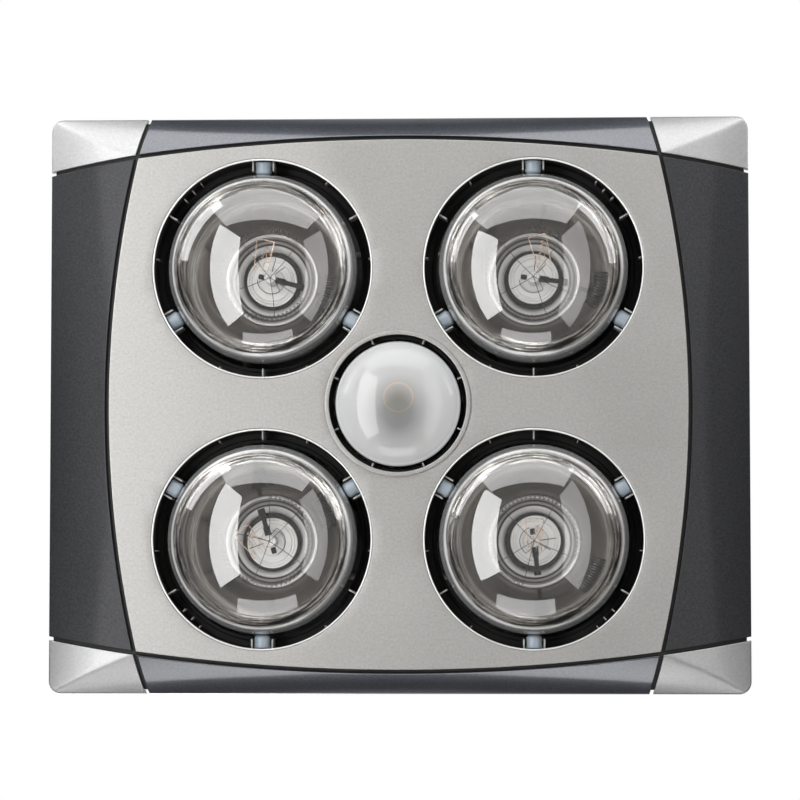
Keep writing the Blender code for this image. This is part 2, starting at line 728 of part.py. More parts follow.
def make_roof(material):
    """Sheet that closes the housing's top, with the fan's opening and the hole for the loom."""
    middle = (ROOF_Z + ROOF_TOP_Z) / 2
    plate = box_shape((0.0, 0.0, middle), (2 * OUTER_HALF_LENGTH, 2 * OUTER_HALF_WIDTH, SHEET))
    roof = add_object("housing_roof", *plate, material)
    grommet = shift(*loom_entry())
    low = ROOF_Z - CUT_OVERRUN
    high = ROOF_TOP_Z + CUT_OVERRUN
    holes = [
        cylinder_shape(FAN_RADIUS, low, high),
        cylinder_shape(LOOM_RADIUS + GROMMET_CLEARANCE, low, high, grommet, SMALL_STEPS),
    ]
    combine(roof, add_guide("roof_holes", *merge_shapes(holes)), "DIFFERENCE")
    return roof


def strip_outline(path, thickness):
    """Outline of a bent strip of sheet that follows a path of points, with mitred bends."""
    left = []
    right = []
    for index, point in enumerate(path):
        here = Vector(point)
        before = (here - Vector(path[index - 1])).normalized() if index > 0 else None
        after = (Vector(path[index + 1]) - here).normalized() if index < len(path) - 1 else None
        tangents = [tangent for tangent in (before, after) if tangent is not None]
        mean = sum(tangents, Vector((0.0, 0.0))).normalized()
        normal = Vector((-mean.y, mean.x))
        reach = thickness / 2 / mean.dot(tangents[0])
        left.append(tuple(here + normal * reach))
        right.append(tuple(here - normal * reach))
    return left + right[::-1]


def upright(matrix=None):
    """Turns an outline drawn in X and Y so that it stands in X and Z."""
    return (matrix or Matrix.Identity(4)) @ Matrix.Rotation(math.pi / 2, 4, "X")


def make_spring_clips(material):
    """Leaf springs on the housing walls that grip the fascia's posts."""
    wall = FIT + CLIP_SHEET / 2
    contact = CLIP_SPACE - POST_THICKNESS / 2 - FIT - CLIP_SHEET / 2
    top = CLIP_FOOT + CLIP_HEIGHT
    path = [
        (wall, CLIP_FOOT),
        (wall, top),
        ((wall + contact) / 2, top + CLIP_CREST),
        (contact - CLIP_LEAN_SHARE * (contact - wall), top),
        (contact, CLIP_CONTACT),
        ((wall + contact) / 2, CLIP_FOOT),
    ]
    outline = strip_outline(path, CLIP_SHEET)
    half = CLIP_WIDTH / 2
    turns = {"left": 0.0, "right": math.pi, "front": math.pi / 2, "back": -math.pi / 2}
    for place, turn in turns.items():
        reach = INNER_HALF_LENGTH if place in ("left", "right") else INNER_HALF_WIDTH
        matrix = Matrix.Rotation(turn, 4, "Z") @ shift(-reach, 0.0)
        add_object("spring_clip_" + place, *prism_shape(outline, -half, half, upright(matrix)), material)


def make_motor_cross(material):
    reach = FAN_RADIUS + CROSS_OVERLAP
    half = CROSS_WIDTH / 2
    corners = [(reach, -half), (reach, half), (half, half)]
    outline = []
    for quarter in range(4):
        turn = Matrix.Rotation(math.pi / 2 * quarter, 2)
        outline += [tuple(turn @ Vector(corner)) for corner in corners]
    cross = add_object("motor_cross", *prism_shape(outline, CROSS_Z, CROSS_TOP_Z), material)
    low = CROSS_Z - CUT_OVERRUN
    bore = cylinder_shape(SHAFT_RADIUS + FIT, low, CROSS_TOP_Z + CUT_OVERRUN, None, MIDDLE_STEPS)
    combine(cross, add_guide("cross_bore", *bore), "DIFFERENCE")
    return cross


def make_motor(material):
    bore = SHAFT_RADIUS + FIT
    profile = [
        (0, MOTOR_Z),
        (MOTOR_RADIUS - MOTOR_CHAMFER, MOTOR_Z),
        (MOTOR_RADIUS, MOTOR_Z + MOTOR_CHAMFER),
        (MOTOR_RADIUS, MOTOR_TOP_Z - MOTOR_CHAMFER),
        (MOTOR_RADIUS - MOTOR_CHAMFER, MOTOR_TOP_Z),
        (bore, MOTOR_TOP_Z),
        (bore, MOTOR_TOP_Z - MOTOR_BORE_DEPTH),
        (0, MOTOR_TOP_Z - MOTOR_BORE_DEPTH),
    ]
    return add_object("fan_motor", *turned_shape(profile), material, smooth=True)


def make_shaft(material):
    low = MOTOR_TOP_Z - MOTOR_BORE_DEPTH + FIT
    high = HUB_TOP_Z - HUB_ROOF - FIT
    shape = cylinder_shape(SHAFT_RADIUS, low, high, None, MIDDLE_STEPS)
    return add_object("motor_shaft", *shape, material, smooth=True)


def blade_shape(turn):
    """A cambered blade whose pitch eases from root to tip."""
    middle = HUB_Z + HUB_HEIGHT / 2
    root = HUB_RADIUS - BLADE_ROOT_SINK
    vertices = []
    for face in (-1, 1):
        for span in range(BLADE_SPANS + 1):
            share = span / BLADE_SPANS
            radius = root + (IMPELLER_RADIUS - root) * share
            pitch = math.radians(BLADE_ROOT_ANGLE + (BLADE_TIP_ANGLE - BLADE_ROOT_ANGLE) * share)
            for chord in range(BLADE_CHORDS + 1):
                along = (2 * chord - BLADE_CHORDS) / (2 * BLADE_CHORDS)
                arch = BLADE_CAMBER * (1 - 4 * along ** 2) + face * BLADE_THICKNESS / 2
                run = BLADE_CHORD * along * math.cos(pitch) - arch * math.sin(pitch)
                rise = BLADE_CHORD * along * math.sin(pitch) + arch * math.cos(pitch)
                angle = turn + run / radius
                reach = min(radius, IMPELLER_RADIUS)
                vertices.append(Vector((reach * math.cos(angle), reach * math.sin(angle), middle + rise)))
    wide = BLADE_CHORDS + 1
    side = wide * (BLADE_SPANS + 1)
    faces = []
    for span in range(BLADE_SPANS):
        for chord in range(BLADE_CHORDS):
            start = span * wide + chord
            corners = [start, start + wide, start + wide + 1, start + 1]
            faces.append(corners)
            faces.append([corner + side for corner in corners])
    rim = [span * wide for span in range(BLADE_SPANS + 1)]
    rim += [BLADE_SPANS * wide + chord for chord in range(1, wide)]
    rim += [span * wide + wide - 1 for span in range(BLADE_SPANS - 1, -1, -1)]
    rim += list(range(wide - 2, 0, -1))
    for index, corner in enumerate(rim):
        following = rim[(index + 1) % len(rim)]
        faces.append([corner, following, following + side, corner + side])
    return vertices, faces


def make_impeller(material):
    bore = SHAFT_RADIUS + FIT
    roof = HUB_TOP_Z - HUB_ROOF
    profile = [
        (bore, HUB_Z),
        (HUB_RADIUS, HUB_Z),
        (HUB_RADIUS, HUB_TOP_Z - HUB_CROWN),
        (HUB_RADIUS - HUB_CROWN, HUB_TOP_Z),
        (0, HUB_TOP_Z),
        (0, roof),
        (bore, roof),
    ]
    impeller = add_object("impeller", *turned_shape(profile), material, smooth=True)
    blades = [blade_shape(2 * math.pi * number / BLADES) for number in range(BLADES)]
    combine(impeller, add_guide("impeller_blades", *merge_shapes(blades)), "UNION")
    return impeller


def make_fan_ring(material):
    profile = [
        (FAN_RADIUS, FAN_RING_Z),
        (FAN_RING_RADIUS + FAN_RING_FLANGE, FAN_RING_Z),
        (FAN_RING_RADIUS + FAN_RING_FLANGE, FAN_RING_Z + FAN_RING_WALL),
        (FAN_RING_RADIUS, FAN_RING_Z + FAN_RING_WALL),
        (FAN_RING_RADIUS, FAN_RING_TOP_Z),
        (FAN_RADIUS, FAN_RING_TOP_Z),
    ]
    return add_object("fan_ring", *turned_shape(profile), material, smooth=True)


def along_y(x, y, z):
    """Lays a turned shape's axis along Y."""
    return shift(x, y, z) @ Matrix.Rotation(-math.pi / 2, 4, "X")


def make_duct_collar(material):
    """Collar over the fan ring: a socket below, and a spigot with the flaps' ledge above."""
    socket = FAN_RING_RADIUS + FIT
    spigot = SPIGOT_BORE_RADIUS + COLLAR_WALL
    ledge_top = FLAP_Z - FLAP_SHEET / 2 - FIT
    profile = [
        (socket, COLLAR_STEP_Z - COLLAR_SOCKET),
        (socket + COLLAR_WALL, COLLAR_STEP_Z - COLLAR_SOCKET),
        (socket + COLLAR_WALL, COLLAR_STEP_Z + COLLAR_WALL),
        (spigot, COLLAR_STEP_Z + COLLAR_WALL),
        (spigot, SPIGOT_TOP_Z),
        (SPIGOT_BORE_RADIUS, SPIGOT_TOP_Z),
        (SPIGOT_BORE_RADIUS, ledge_top),
        (SPIGOT_BORE_RADIUS - FLAP_LEDGE, ledge_top),
        (SPIGOT_BORE_RADIUS - FLAP_LEDGE, ledge_top - FLAP_LEDGE_HEIGHT),
        (SPIGOT_BORE_RADIUS, ledge_top - FLAP_LEDGE_HEIGHT),
        (SPIGOT_BORE_RADIUS, COLLAR_STEP_Z),
        (socket, COLLAR_STEP_Z),
    ]
    collar = add_object("duct_collar", *turned_shape(profile), material, smooth=True)
    reach = spigot + CUT_OVERRUN
    rod_hole = cylinder_shape(ROD_RADIUS + FIT, -reach, reach, along_y(0.0, 0.0, FLAP_Z), ROD_STEPS)
    combine(collar, add_guide("collar_rod_hole", *rod_hole), "DIFFERENCE")
    return collar


def make_flap_rod(material):
    reach = SPIGOT_BORE_RADIUS + COLLAR_WALL
    shape = cylinder_shape(ROD_RADIUS, -reach, reach, along_y(0.0, 0.0, FLAP_Z), ROD_STEPS)
    return add_object("flap_rod", *shape, material, smooth=True)


def make_flap(name, side, material):
    """Half of the draught shutter, with two knuckles that turn on the rod."""
    hinge_edge = KNUCKLE_RADIUS + FLAP_HINGE_GAP
    start = math.acos(hinge_edge / FLAP_RADIUS)
    outline = []
    for step in range(ARC_STEPS * 2 + 1):
        angle = start - 2 * start * step / (ARC_STEPS * 2)
        outline.append((side * FLAP_RADIUS * math.cos(angle), FLAP_RADIUS * math.sin(angle)))
    low = FLAP_Z - FLAP_SHEET / 2
    flap = add_object(name, *prism_shape(outline, low, low + FLAP_SHEET), material)
    tabs = []
    knuckles = []
    bores = []
    for number in (-1, 1):
        y = KNUCKLE_PITCH * number + side * KNUCKLE_STAGGER
        reach = hinge_edge + FLAP_HINGE_GAP
        tabs.append(box_shape((side * reach / 2, y, FLAP_Z), (reach, KNUCKLE_LENGTH, FLAP_SHEET)))
        half = KNUCKLE_LENGTH / 2
        matrix = along_y(0.0, y, FLAP_Z)
        knuckles.append(cylinder_shape(KNUCKLE_RADIUS, -half, half, matrix, SMALL_STEPS))
        reach = half + FIT
        bores.append(cylinder_shape(ROD_RADIUS + FIT, -reach, reach, matrix, ROD_STEPS))
    combine(flap, add_guide(name + "_tabs", *merge_shapes(tabs)), "UNION")
    combine(flap, add_guide(name + "_knuckles", *merge_shapes(knuckles)), "UNION")
    combine(flap, add_guide(name + "_bores", *merge_shapes(bores)), "DIFFERENCE")
    return flap


def make_holder_strap(material):
    """U-shaped strap that hangs from the motor cross and carries the centre light's holder."""
    side = MOTOR_RADIUS + STRAP_CLEARANCE
    low = STRAP_Z + STRAP_SHEET / 2
    high = CROSS_Z - FIT - STRAP_SHEET / 2
    foot = side + STRAP_FOOT
    path = [(-foot, high), (-side, high), (-side, low), (side, low), (side, high), (foot, high)]
    half = STRAP_WIDTH / 2
    shape = prism_shape(strip_outline(path, STRAP_SHEET), -half, half, upright())
    return add_object("centre_holder_strap", *shape, material)


def loom_entry():
    """Where the loom comes through the roof, under the terminal box."""
    return BOX_X, LOOM_ENTRY


def round_route(points, radius, steps):
    """The route with each corner replaced by an arc."""
    route = [points[0]]
    for before, here, after in zip(points, points[1:], points[2:]):
        towards = (before - here).normalized()
        away = (after - here).normalized()
        half = towards.angle(away) / 2
        reach = radius / math.tan(half)
        centre = here + (towards + away).normalized() * (radius / math.sin(half))
        start = (here + towards * reach - centre).normalized()
        finish = (here + away * reach - centre).normalized()
        for step in range(steps + 1):
            route.append(centre + start.slerp(finish, step / steps) * radius)
    route.append(points[-1])
    return route


def make_loom(material):
    """Sleeved leads from the terminal block, past each lamp holder."""
    entry_x, entry_y = loom_entry()
    level = ROOF_Z - LOOM_BEND - LOOM_DROP
    reach = LAMP_OFFSET + HOLDER_RADIUS + FIT + LOOM_RADIUS
    points = [
        Vector((entry_x, entry_y, BOX_Z + BOX_WALL + BLOCK_HEIGHT)),
        Vector((entry_x, entry_y, level)),
        Vector((entry_x, reach, level)),
        Vector((-reach, reach, level)),
        Vector((-reach, -reach, level)),
        Vector((LAMP_OFFSET, -reach, level)),
    ]
    curve = bpy.data.curves.new("wiring_loom", "CURVE")
    curve.dimensions = "3D"
    curve.bevel_depth = LOOM_RADIUS
    curve.bevel_resolution = LOOM_SIDE_STEPS
    curve.use_fill_caps = True
    route = round_route(points, LOOM_BEND, LOOM_BEND_STEPS)
    spline = curve.splines.new("POLY")
    spline.points.add(len(route) - 1)
    for point, place in zip(spline.points, route):
        point.co = (*place, 1.0)
    loom = bpy.data.objects.new("wiring_loom", curve)
    bpy.context.scene.collection.objects.link(loom)
    curve.materials.append(material)
    return loom


def make_thermal_cutout(material):
    matrix = shift(-(INNER_HALF_LENGTH - CUTOUT_EDGE), 0.0)
    top = ROOF_Z - FIT
    shape = cylinder_shape(CUTOUT_RADIUS, top - CUTOUT_HEIGHT, top, matrix, MIDDLE_STEPS)
    return add_object("thermal_cutout", *shape, material, smooth=True)


def make_terminal_box(material):
    middle = (BOX_X, 0.0, BOX_Z + BOX_HEIGHT / 2)
    body = add_object("terminal_box", *box_shape(middle, (BOX_LENGTH, BOX_WIDTH, BOX_HEIGHT)), material)
    size = (BOX_LENGTH - 2 * BOX_WALL, BOX_WIDTH - 2 * BOX_WALL, BOX_HEIGHT)
    inside = box_shape((BOX_X, 0.0, BOX_Z + BOX_WALL + BOX_HEIGHT / 2), size)
    combine(body, add_guide("terminal_box_inside", *inside), "DIFFERENCE")
    radius = LOOM_RADIUS + GROMMET_CLEARANCE
    high = BOX_Z + BOX_WALL + CUT_OVERRUN
    entry = cylinder_shape(radius, BOX_Z - CUT_OVERRUN, high, shift(*loom_entry()), SMALL_STEPS)
    radius = GLAND_STUB_RADIUS + FIT
    gland = cylinder_shape(radius, -CUT_OVERRUN, CUT_OVERRUN, gland_matrix(), MIDDLE_STEPS)
    combine(body, add_guide("terminal_box_holes", *merge_shapes([entry, gland])), "DIFFERENCE")
    return body


def make_terminal_lid(material):
    low = BOX_TOP_Z + FIT
    middle = (BOX_X, 0.0, low + BOX_WALL / 2)
    return add_object("terminal_lid", *box_shape(middle, (BOX_LENGTH, BOX_WIDTH, BOX_WALL)), material)


def make_terminal_block(material):
    low = BOX_Z + BOX_WALL + FIT
    middle = (BOX_X, -BLOCK_OFFSET, low + BLOCK_HEIGHT / 2)
    size = (BLOCK_LENGTH, BLOCK_WIDTH, BLOCK_HEIGHT)
    return add_object("terminal_block", *box_shape(middle, size), material)


def gland_matrix():
    """The gland's own frame: its axis leaves the terminal box along +X."""
    return shift(BOX_X + BOX_LENGTH / 2, 0.0, BOX_Z + BOX_HEIGHT / 2) @ Matrix.Rotation(math.pi / 2, 4, "Y")


def make_cable_gland(material):
    """Cable entry with no cable in it: a threaded stub, a nut and a clamping cap round one bore."""
    matrix = gland_matrix()
    nut_end = FIT + GLAND_NUT
    body_profile = [
        (GLAND_BORE_RADIUS, -GLAND_STUB),
        (GLAND_STUB_RADIUS, -GLAND_STUB),
        (GLAND_STUB_RADIUS, nut_end),
        (GLAND_CAP_RADIUS, nut_end),
        (GLAND_CAP_RADIUS, nut_end + GLAND_CAP - GLAND_CAP_SHOULDER),
        (GLAND_BORE_RADIUS + GLAND_CAP_MOUTH, nut_end + GLAND_CAP),
        (GLAND_BORE_RADIUS, nut_end + GLAND_CAP),
    ]
    body = turned_shape(body_profile, matrix, MIDDLE_STEPS)
    gland = add_object("cable_gland", *body, material, smooth=True)
    nut_profile = [
        (GLAND_STUB_RADIUS - FIT, FIT),
        (GLAND_NUT_RADIUS, FIT),
        (GLAND_NUT_RADIUS, nut_end + FIT),
        (GLAND_STUB_RADIUS - FIT, nut_end + FIT),
    ]
    nut = add_guide("cable_gland_nut", *turned_shape(nut_profile, matrix, GLAND_NUT_SIDES))
    combine(gland, nut, "UNION")
    return gland


def carry(name, place, pieces):
    """Hang pieces on an empty that lies on their joint's axis."""
    axis = bpy.data.objects.new(name, None)
    axis.location = place
    bpy.context.scene.collection.objects.link(axis)
    for piece in pieces:
        piece.data.transform(Matrix.Translation(-Vector(place)))
        piece.parent = axis


def make_materials():
    return {
        "silver": make_material("silver metallic paint", (0.52, 0.51, 0.49), 0.38, 0.75),
        "charcoal": make_material("charcoal metallic paint", (0.060, 0.061, 0.065), 0.42, 0.6),
        "slate": make_material("slate metallic paint", (0.055, 0.062, 0.072), 0.36, 0.6),
        "black": make_material("black moulding", (0.012, 0.012, 0.012), 0.5),
        "silicone": make_material("silicone", (0.55, 0.62, 0.68), 0.45),
        "lamp_glass": make_material("silvered lamp glass", (0.62, 0.60, 0.57), 0.12, 0.8),
        "frosted_glass": make_material("frosted lamp glass", (0.82, 0.83, 0.83), 0.35),
        "ceramic": make_material("white ceramic", (0.80, 0.78, 0.73), 0.35),
        "zinc": make_material("galvanised sheet", (0.55, 0.57, 0.58), 0.42, 0.9),
        "spring_steel": make_material("spring steel", (0.40, 0.41, 0.42), 0.3, 1.0),
        "motor_enamel": make_material("motor enamel", (0.10, 0.11, 0.12), 0.45, 0.3),
        "steel": make_material("bright steel", (0.62, 0.62, 0.61), 0.25, 1.0),
        "white_plastic": make_material("white plastic", (0.78, 0.78, 0.76), 0.4),
        "grey_plastic": make_material("grey plastic", (0.30, 0.31, 0.32), 0.45),
        "terminal": make_material("terminal plastic", (0.74, 0.72, 0.66), 0.4),
        "sleeve": make_material("glass-fibre sleeve", (0.70, 0.66, 0.56), 0.7),
    }


def main():
    clear_scene()
    materials = make_materials()
    make_housing(materials["zinc"])
    make_roof(materials["zinc"])
    make_spring_clips(materials["spring_steel"])
    make_motor_cross(materials["zinc"])
    make_motor(materials["motor_enamel"])
    make_fan_ring(materials["zinc"])
    make_duct_collar(materials["grey_plastic"])
    make_flap_rod(materials["steel"])
    make_holder_strap(materials["zinc"])
    make_lamps(materials)
    make_loom(materials["sleeve"])
    make_thermal_cutout(materials["steel"])
    make_terminal_box(materials["zinc"])
    make_terminal_lid(materials["zinc"])
    make_terminal_block(materials["terminal"])
    make_cable_gland(materials["grey_plastic"])
    fascia = [make_fascia_frame(materials["black"]), make_centre_panel(materials["silver"])]
    fascia.append(make_bezel(materials["silver"]))
    fascia += make_wells(materials["black"])
    fascia += make_outer_panels(materials)
    fascia += make_pads(materials["silicone"])
    carry("fascia_slide_axis", (0.0, 0.0, 0.0), fascia)
    rotor = [make_shaft(materials["steel"]), make_impeller(materials["white_plastic"])]
    carry("impeller_axis", (0.0, 0.0, HUB_Z), rotor)
    left_flap = make_flap("draught_flap_left", -1, materials["white_plastic"])
    right_flap = make_flap("draught_flap_right", 1, materials["white_plastic"])
    carry("left_flap_axis", (0.0, 0.0, FLAP_Z), [left_flap])
    carry("right_flap_axis", (0.0, 0.0, FLAP_Z), [right_flap])


main()
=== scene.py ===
import json
import math

import bmesh
import bpy
from mathutils import Matrix, Vector


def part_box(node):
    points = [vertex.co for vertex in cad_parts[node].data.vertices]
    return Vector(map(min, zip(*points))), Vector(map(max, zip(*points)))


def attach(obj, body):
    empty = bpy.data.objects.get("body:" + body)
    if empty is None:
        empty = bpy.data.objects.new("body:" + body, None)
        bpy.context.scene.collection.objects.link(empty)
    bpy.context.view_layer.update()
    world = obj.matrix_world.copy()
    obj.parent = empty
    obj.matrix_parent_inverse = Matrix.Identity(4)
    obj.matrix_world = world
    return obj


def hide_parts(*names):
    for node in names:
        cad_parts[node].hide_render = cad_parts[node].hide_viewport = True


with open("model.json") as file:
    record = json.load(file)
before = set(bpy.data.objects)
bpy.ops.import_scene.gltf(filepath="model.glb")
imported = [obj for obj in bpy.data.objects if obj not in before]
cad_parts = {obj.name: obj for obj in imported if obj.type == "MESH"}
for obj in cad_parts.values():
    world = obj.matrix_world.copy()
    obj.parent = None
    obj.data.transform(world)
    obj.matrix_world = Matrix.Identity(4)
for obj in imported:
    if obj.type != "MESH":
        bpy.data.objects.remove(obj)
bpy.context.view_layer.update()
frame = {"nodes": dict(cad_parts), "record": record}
print("frame loaded:", len(frame["nodes"]), "nodes")

# sizes shared by the pieces, in metres
lampHole = 0.072
centreHole = 0.0479
lampOffset = (lampHole + 0.007 + centreHole) / math.sqrt(2)
frontZ = -0.024  # front of the fascia
fit = 0.0003  # gap between two pieces that touch
sides = (-1, 1)
quarters = [(sideX, sideY) for sideY in sides for sideX in sides]
lampPlaces = {
    "front_left": (-lampOffset, -lampOffset),
    "front_right": (lampOffset, -lampOffset),
    "back_left": (-lampOffset, lampOffset),
    "back_right": (lampOffset, lampOffset),
}


# mesh helpers
def deselectAll():
    if bpy.context.object and bpy.context.object.mode != "OBJECT":
        bpy.ops.object.mode_set(mode="OBJECT")
    bpy.ops.object.select_all(action="DESELECT")


def pick(piece):
    deselectAll()
    piece.select_set(True)
    bpy.context.view_layer.objects.active = piece


def editAll():
    bpy.ops.object.mode_set(mode="EDIT")
    bpy.ops.mesh.select_all(action="SELECT")


def closeUp(distance=1e-6):
    # merge doubles, then turn every face outwards
    bpy.ops.mesh.select_all(action="SELECT")
    bpy.ops.mesh.remove_doubles(threshold=distance)
    bpy.ops.mesh.normals_make_consistent(inside=False)


def latheForm(name, profile, steps=96, place=(0, 0), closed=False):
    # shrink a plane to one point, draw the profile of (radius, height) with it and spin that upright
    deselectAll()
    bpy.ops.mesh.primitive_plane_add(size=0.01, location=(0, 0, 0))
    piece = bpy.context.object
    piece.name = name
    points = [(radius, 0, height) for radius, height in profile]
    if closed:
        points.append(points[0])
    editAll()
    bpy.ops.mesh.merge(type="CENTER")
    bpy.ops.transform.translate(value=points[0])
    for before, after in zip(points, points[1:]):
        step = [b - a for a, b in zip(before, after)]
        bpy.ops.mesh.extrude_region_move(TRANSFORM_OT_translate={"value": step})
    bpy.ops.mesh.select_all(action="SELECT")
    bpy.ops.mesh.spin(steps=steps, angle=2 * math.pi, center=(0, 0, 0), axis=(0, 0, 1))
    closeUp()
    bpy.ops.transform.translate(value=(*place, 0))
    bpy.ops.object.mode_set(mode="OBJECT")
    return piece


def roundCorners(points, radius, steps=3, closed=False):
    # give each inner corner of a profile a small curve
    rounded = []
    for index, corner in enumerate(points):
        if not closed and index in (0, len(points) - 1):
            rounded.append(corner)
            continue
        here = Vector(corner)
        before = Vector(points[index - 1]) - here
        after = Vector(points[(index + 1) % len(points)]) - here
        reach = min(radius, before.length * 0.45, after.length * 0.45)
        first = here + before.normalized() * reach
        last = here + after.normalized() * reach
        for step in range(steps + 1):
            t = step / steps
            point = first * (1 - t) ** 2 + here * 2 * t * (1 - t) + last * t ** 2
            rounded.append((point.x, point.y))
    return rounded


def closedRing(name, corners, radius, rounding=3, steps=160):
    return latheForm(name, roundCorners(corners, radius, rounding, True), steps, closed=True)


def boxForm(name, size, centre, bevel=0.0003, segments=2):
    deselectAll()
    bpy.ops.mesh.primitive_cube_add(size=1, location=(0, 0, 0))
    piece = bpy.context.object
    piece.name = name
    editAll()
    bpy.ops.transform.resize(value=size)
    if bevel:
        bpy.ops.mesh.bevel(offset=bevel, segments=segments, affect="EDGES")
    bpy.ops.mesh.select_all(action="SELECT")
    bpy.ops.transform.translate(value=centre)
    bpy.ops.object.mode_set(mode="OBJECT")
    return piece


def moveMesh(piece, matrix):
    piece.data.transform(matrix)
    piece.data.update()
    return piece


def turned(angle, x=0.0, y=0.0, z=0.0):
    return Matrix.Translation((x, y, z)) @ Matrix.Rotation(angle, 4, "Z")


def boxRing(name, count, first, size, centre, bevel=0.0003):
    # equal boxes spread round the upright axis, the first one at an angle
    boxes = []
    for number in range(count):
        box = boxForm(name, size, centre, bevel)
        boxes.append(moveMesh(box, turned(first + 2 * math.pi * number / count)))
    return boxes


def copyOf(piece, name, matrix):
    twin = piece.copy()
    twin.data = piece.data.copy()
    twin.name = name
    bpy.context.scene.collection.objects.link(twin)
    return moveMesh(twin, matrix)


def removeAll(*pieces):
    for piece in pieces:
        bpy.data.objects.remove(piece)


def joinAll(pieces, name):
    deselectAll()
    for piece in pieces:
        piece.select_set(True)
    bpy.context.view_layer.objects.active = pieces[0]
    if len(pieces) > 1:
        bpy.ops.object.join()
    pieces[0].name = name
    return pieces[0]


def applyAll(piece):
    pick(piece)
    for modifier in list(piece.modifiers):
        bpy.ops.object.modifier_apply(modifier=modifier.name)


def cutWith(piece, tool):
    modifier = piece.modifiers.new("cut", "BOOLEAN")
    modifier.operation = "DIFFERENCE"
    modifier.solver = "EXACT"
    modifier.object = tool
    applyAll(piece)
    removeAll(tool)


def wireForm(name, points, radius, rings=3):
    # a round wire through the points
    curve = bpy.data.curves.new(name, "CURVE")
    curve.dimensions = "3D"
    curve.bevel_depth = radius
    curve.bevel_resolution = rings
    curve.use_fill_caps = True
    spline = curve.splines.new("POLY")
    spline.points.add(len(points) - 1)
    for point, place in zip(spline.points, points):
        point.co = (*place, 1)
    piece = bpy.data.objects.new(name, curve)
    bpy.context.scene.collection.objects.link(piece)
    pick(piece)
    bpy.ops.object.convert(target="MESH")
    piece = bpy.context.object
    bpy.ops.object.mode_set(mode="EDIT")
    closeUp(1e-7)
    bpy.ops.object.mode_set(mode="OBJECT")
    return piece


def finishPiece(piece, body, slot, replaces=(), angle=30, look=None):
    # a piece wears its slot's finish unless it is given a look of its own
    piece.data.materials.clear()
    piece.data.materials.append(look or finishes[slot])
    pick(piece)
    bpy.ops.object.shade_smooth_by_angle(angle=math.radians(angle))
    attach(piece, body)
    if replaces:
        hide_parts(*replaces)


# material helpers
def feed(tree, node, sources):
    for socket, source in sources.items():
        tree.links.new(source, node.inputs[socket])


def addNode(tree, kind, values, sources):
    # a shader node with its values set and its other inputs linked
    node = tree.nodes.new("ShaderNode" + kind)
    for socket, value in values.items():
        node.inputs[socket].default_value = value
    feed(tree, node, sources)
    return node


def startMaterial(name, look):
    material = bpy.data.materials.new(name)
    material.use_nodes = True
    tree = material.node_tree
    shader = tree.nodes["Principled BSDF"]
    for socket, value in look.items():
        shader.inputs[socket].default_value = value
    place = tree.nodes.new("ShaderNodeTexCoord").outputs["Object"]
    return material, tree, shader, place


def addMapping(tree, place, stretch, shift=(0, 0, 0)):
    mapping = addNode(tree, "Mapping", {"Scale": stretch, "Location": shift}, {"Vector": place})
    return mapping.outputs["Vector"]


def addNoise(tree, place, scale, detail=2.0, roughness=0.5):
    values = {"Scale": scale, "Detail": detail, "Roughness": roughness}
    return addNode(tree, "TexNoise", values, {"Vector": place}).outputs["Fac"]


def addRamp(tree, source, stops):
    ramp = addNode(tree, "ValToRGB", {}, {"Fac": source})
    elements = ramp.color_ramp.elements
    elements[0].position, elements[0].color = stops[0][0], (*stops[0][1], 1)
    elements[1].position, elements[1].color = stops[-1][0], (*stops[-1][1], 1)
    for position, colour in stops[1:-1]:
        elements.new(position).color = (*colour, 1)
    return ramp.outputs["Color"]


def addRange(tree, source, low, high, fromLow=0.3, fromHigh=0.7):
    values = {"From Min": fromLow, "From Max": fromHigh, "To Min": low, "To Max": high}
    return addNode(tree, "MapRange", values, {"Value": source}).outputs["Result"]


def addBump(tree, shader, height, distance, strength=0.5):
    bump = addNode(tree, "Bump", {"Distance": distance, "Strength": strength}, {"Height": height})
    feed(tree, shader, {"Normal": bump.outputs["Normal"]})


def between(low, high):
    return [(0.25, low), (0.75, high)]


def dressShader(tree, shader, colour, low, high, gloss, roughness):
    feed(tree, shader, {
        "Base Color": addRamp(tree, colour, between(low, high)),
        "Roughness": addRange(tree, gloss, *roughness),
    })


def makePaint(name, look):
    # metallic paint: fine flake in the colour and the normal, and a slow drift in the gloss
    values = {"Metallic": look["metallic"], "Coat Weight": look["coat"], "Coat Roughness": 0.12}
    material, tree, shader, place = startMaterial(name, values)
    flake = addNoise(tree, place, look["flakeScale"], 3.0, 0.65)
    drift = addNoise(tree, place, 14)
    dressShader(tree, shader, flake, look["low"], look["high"], drift, look["roughness"])
    addBump(tree, shader, flake, look["flakeHeight"], 0.6)
    return material


def makePlastic(name, low, high, roughness, grain=1400, height=0.00002, coat=0.0, subsurface=0.0, shine=0.5):
    # moulded plastic: fine grain, slight mottling and uneven gloss
    values = {"Coat Weight": coat, "Subsurface Weight": subsurface, "Subsurface Scale": 0.002,
              "Specular IOR Level": shine}
    material, tree, shader, place = startMaterial(name, values)
    mottle = addNoise(tree, place, 45, 4.0)
    dressShader(tree, shader, mottle, low, high, mottle, roughness)
    addBump(tree, shader, addNoise(tree, place, grain), height)
    return material


def makeMetal(name, low, high, roughness, stretch=(1, 1, 1), grain=600, metallic=1.0):
    # bare or plated metal with drawn or rolled marks
    material, tree, shader, place = startMaterial(name, {"Metallic": metallic})
    marks = addNoise(tree, addMapping(tree, place, stretch), grain, 4.0, 0.6)
    stain = addNoise(tree, place, 30, 3.0)
    dressShader(tree, shader, stain, low, high, marks, roughness)
    addBump(tree, shader, marks, 0.00001)
    return material


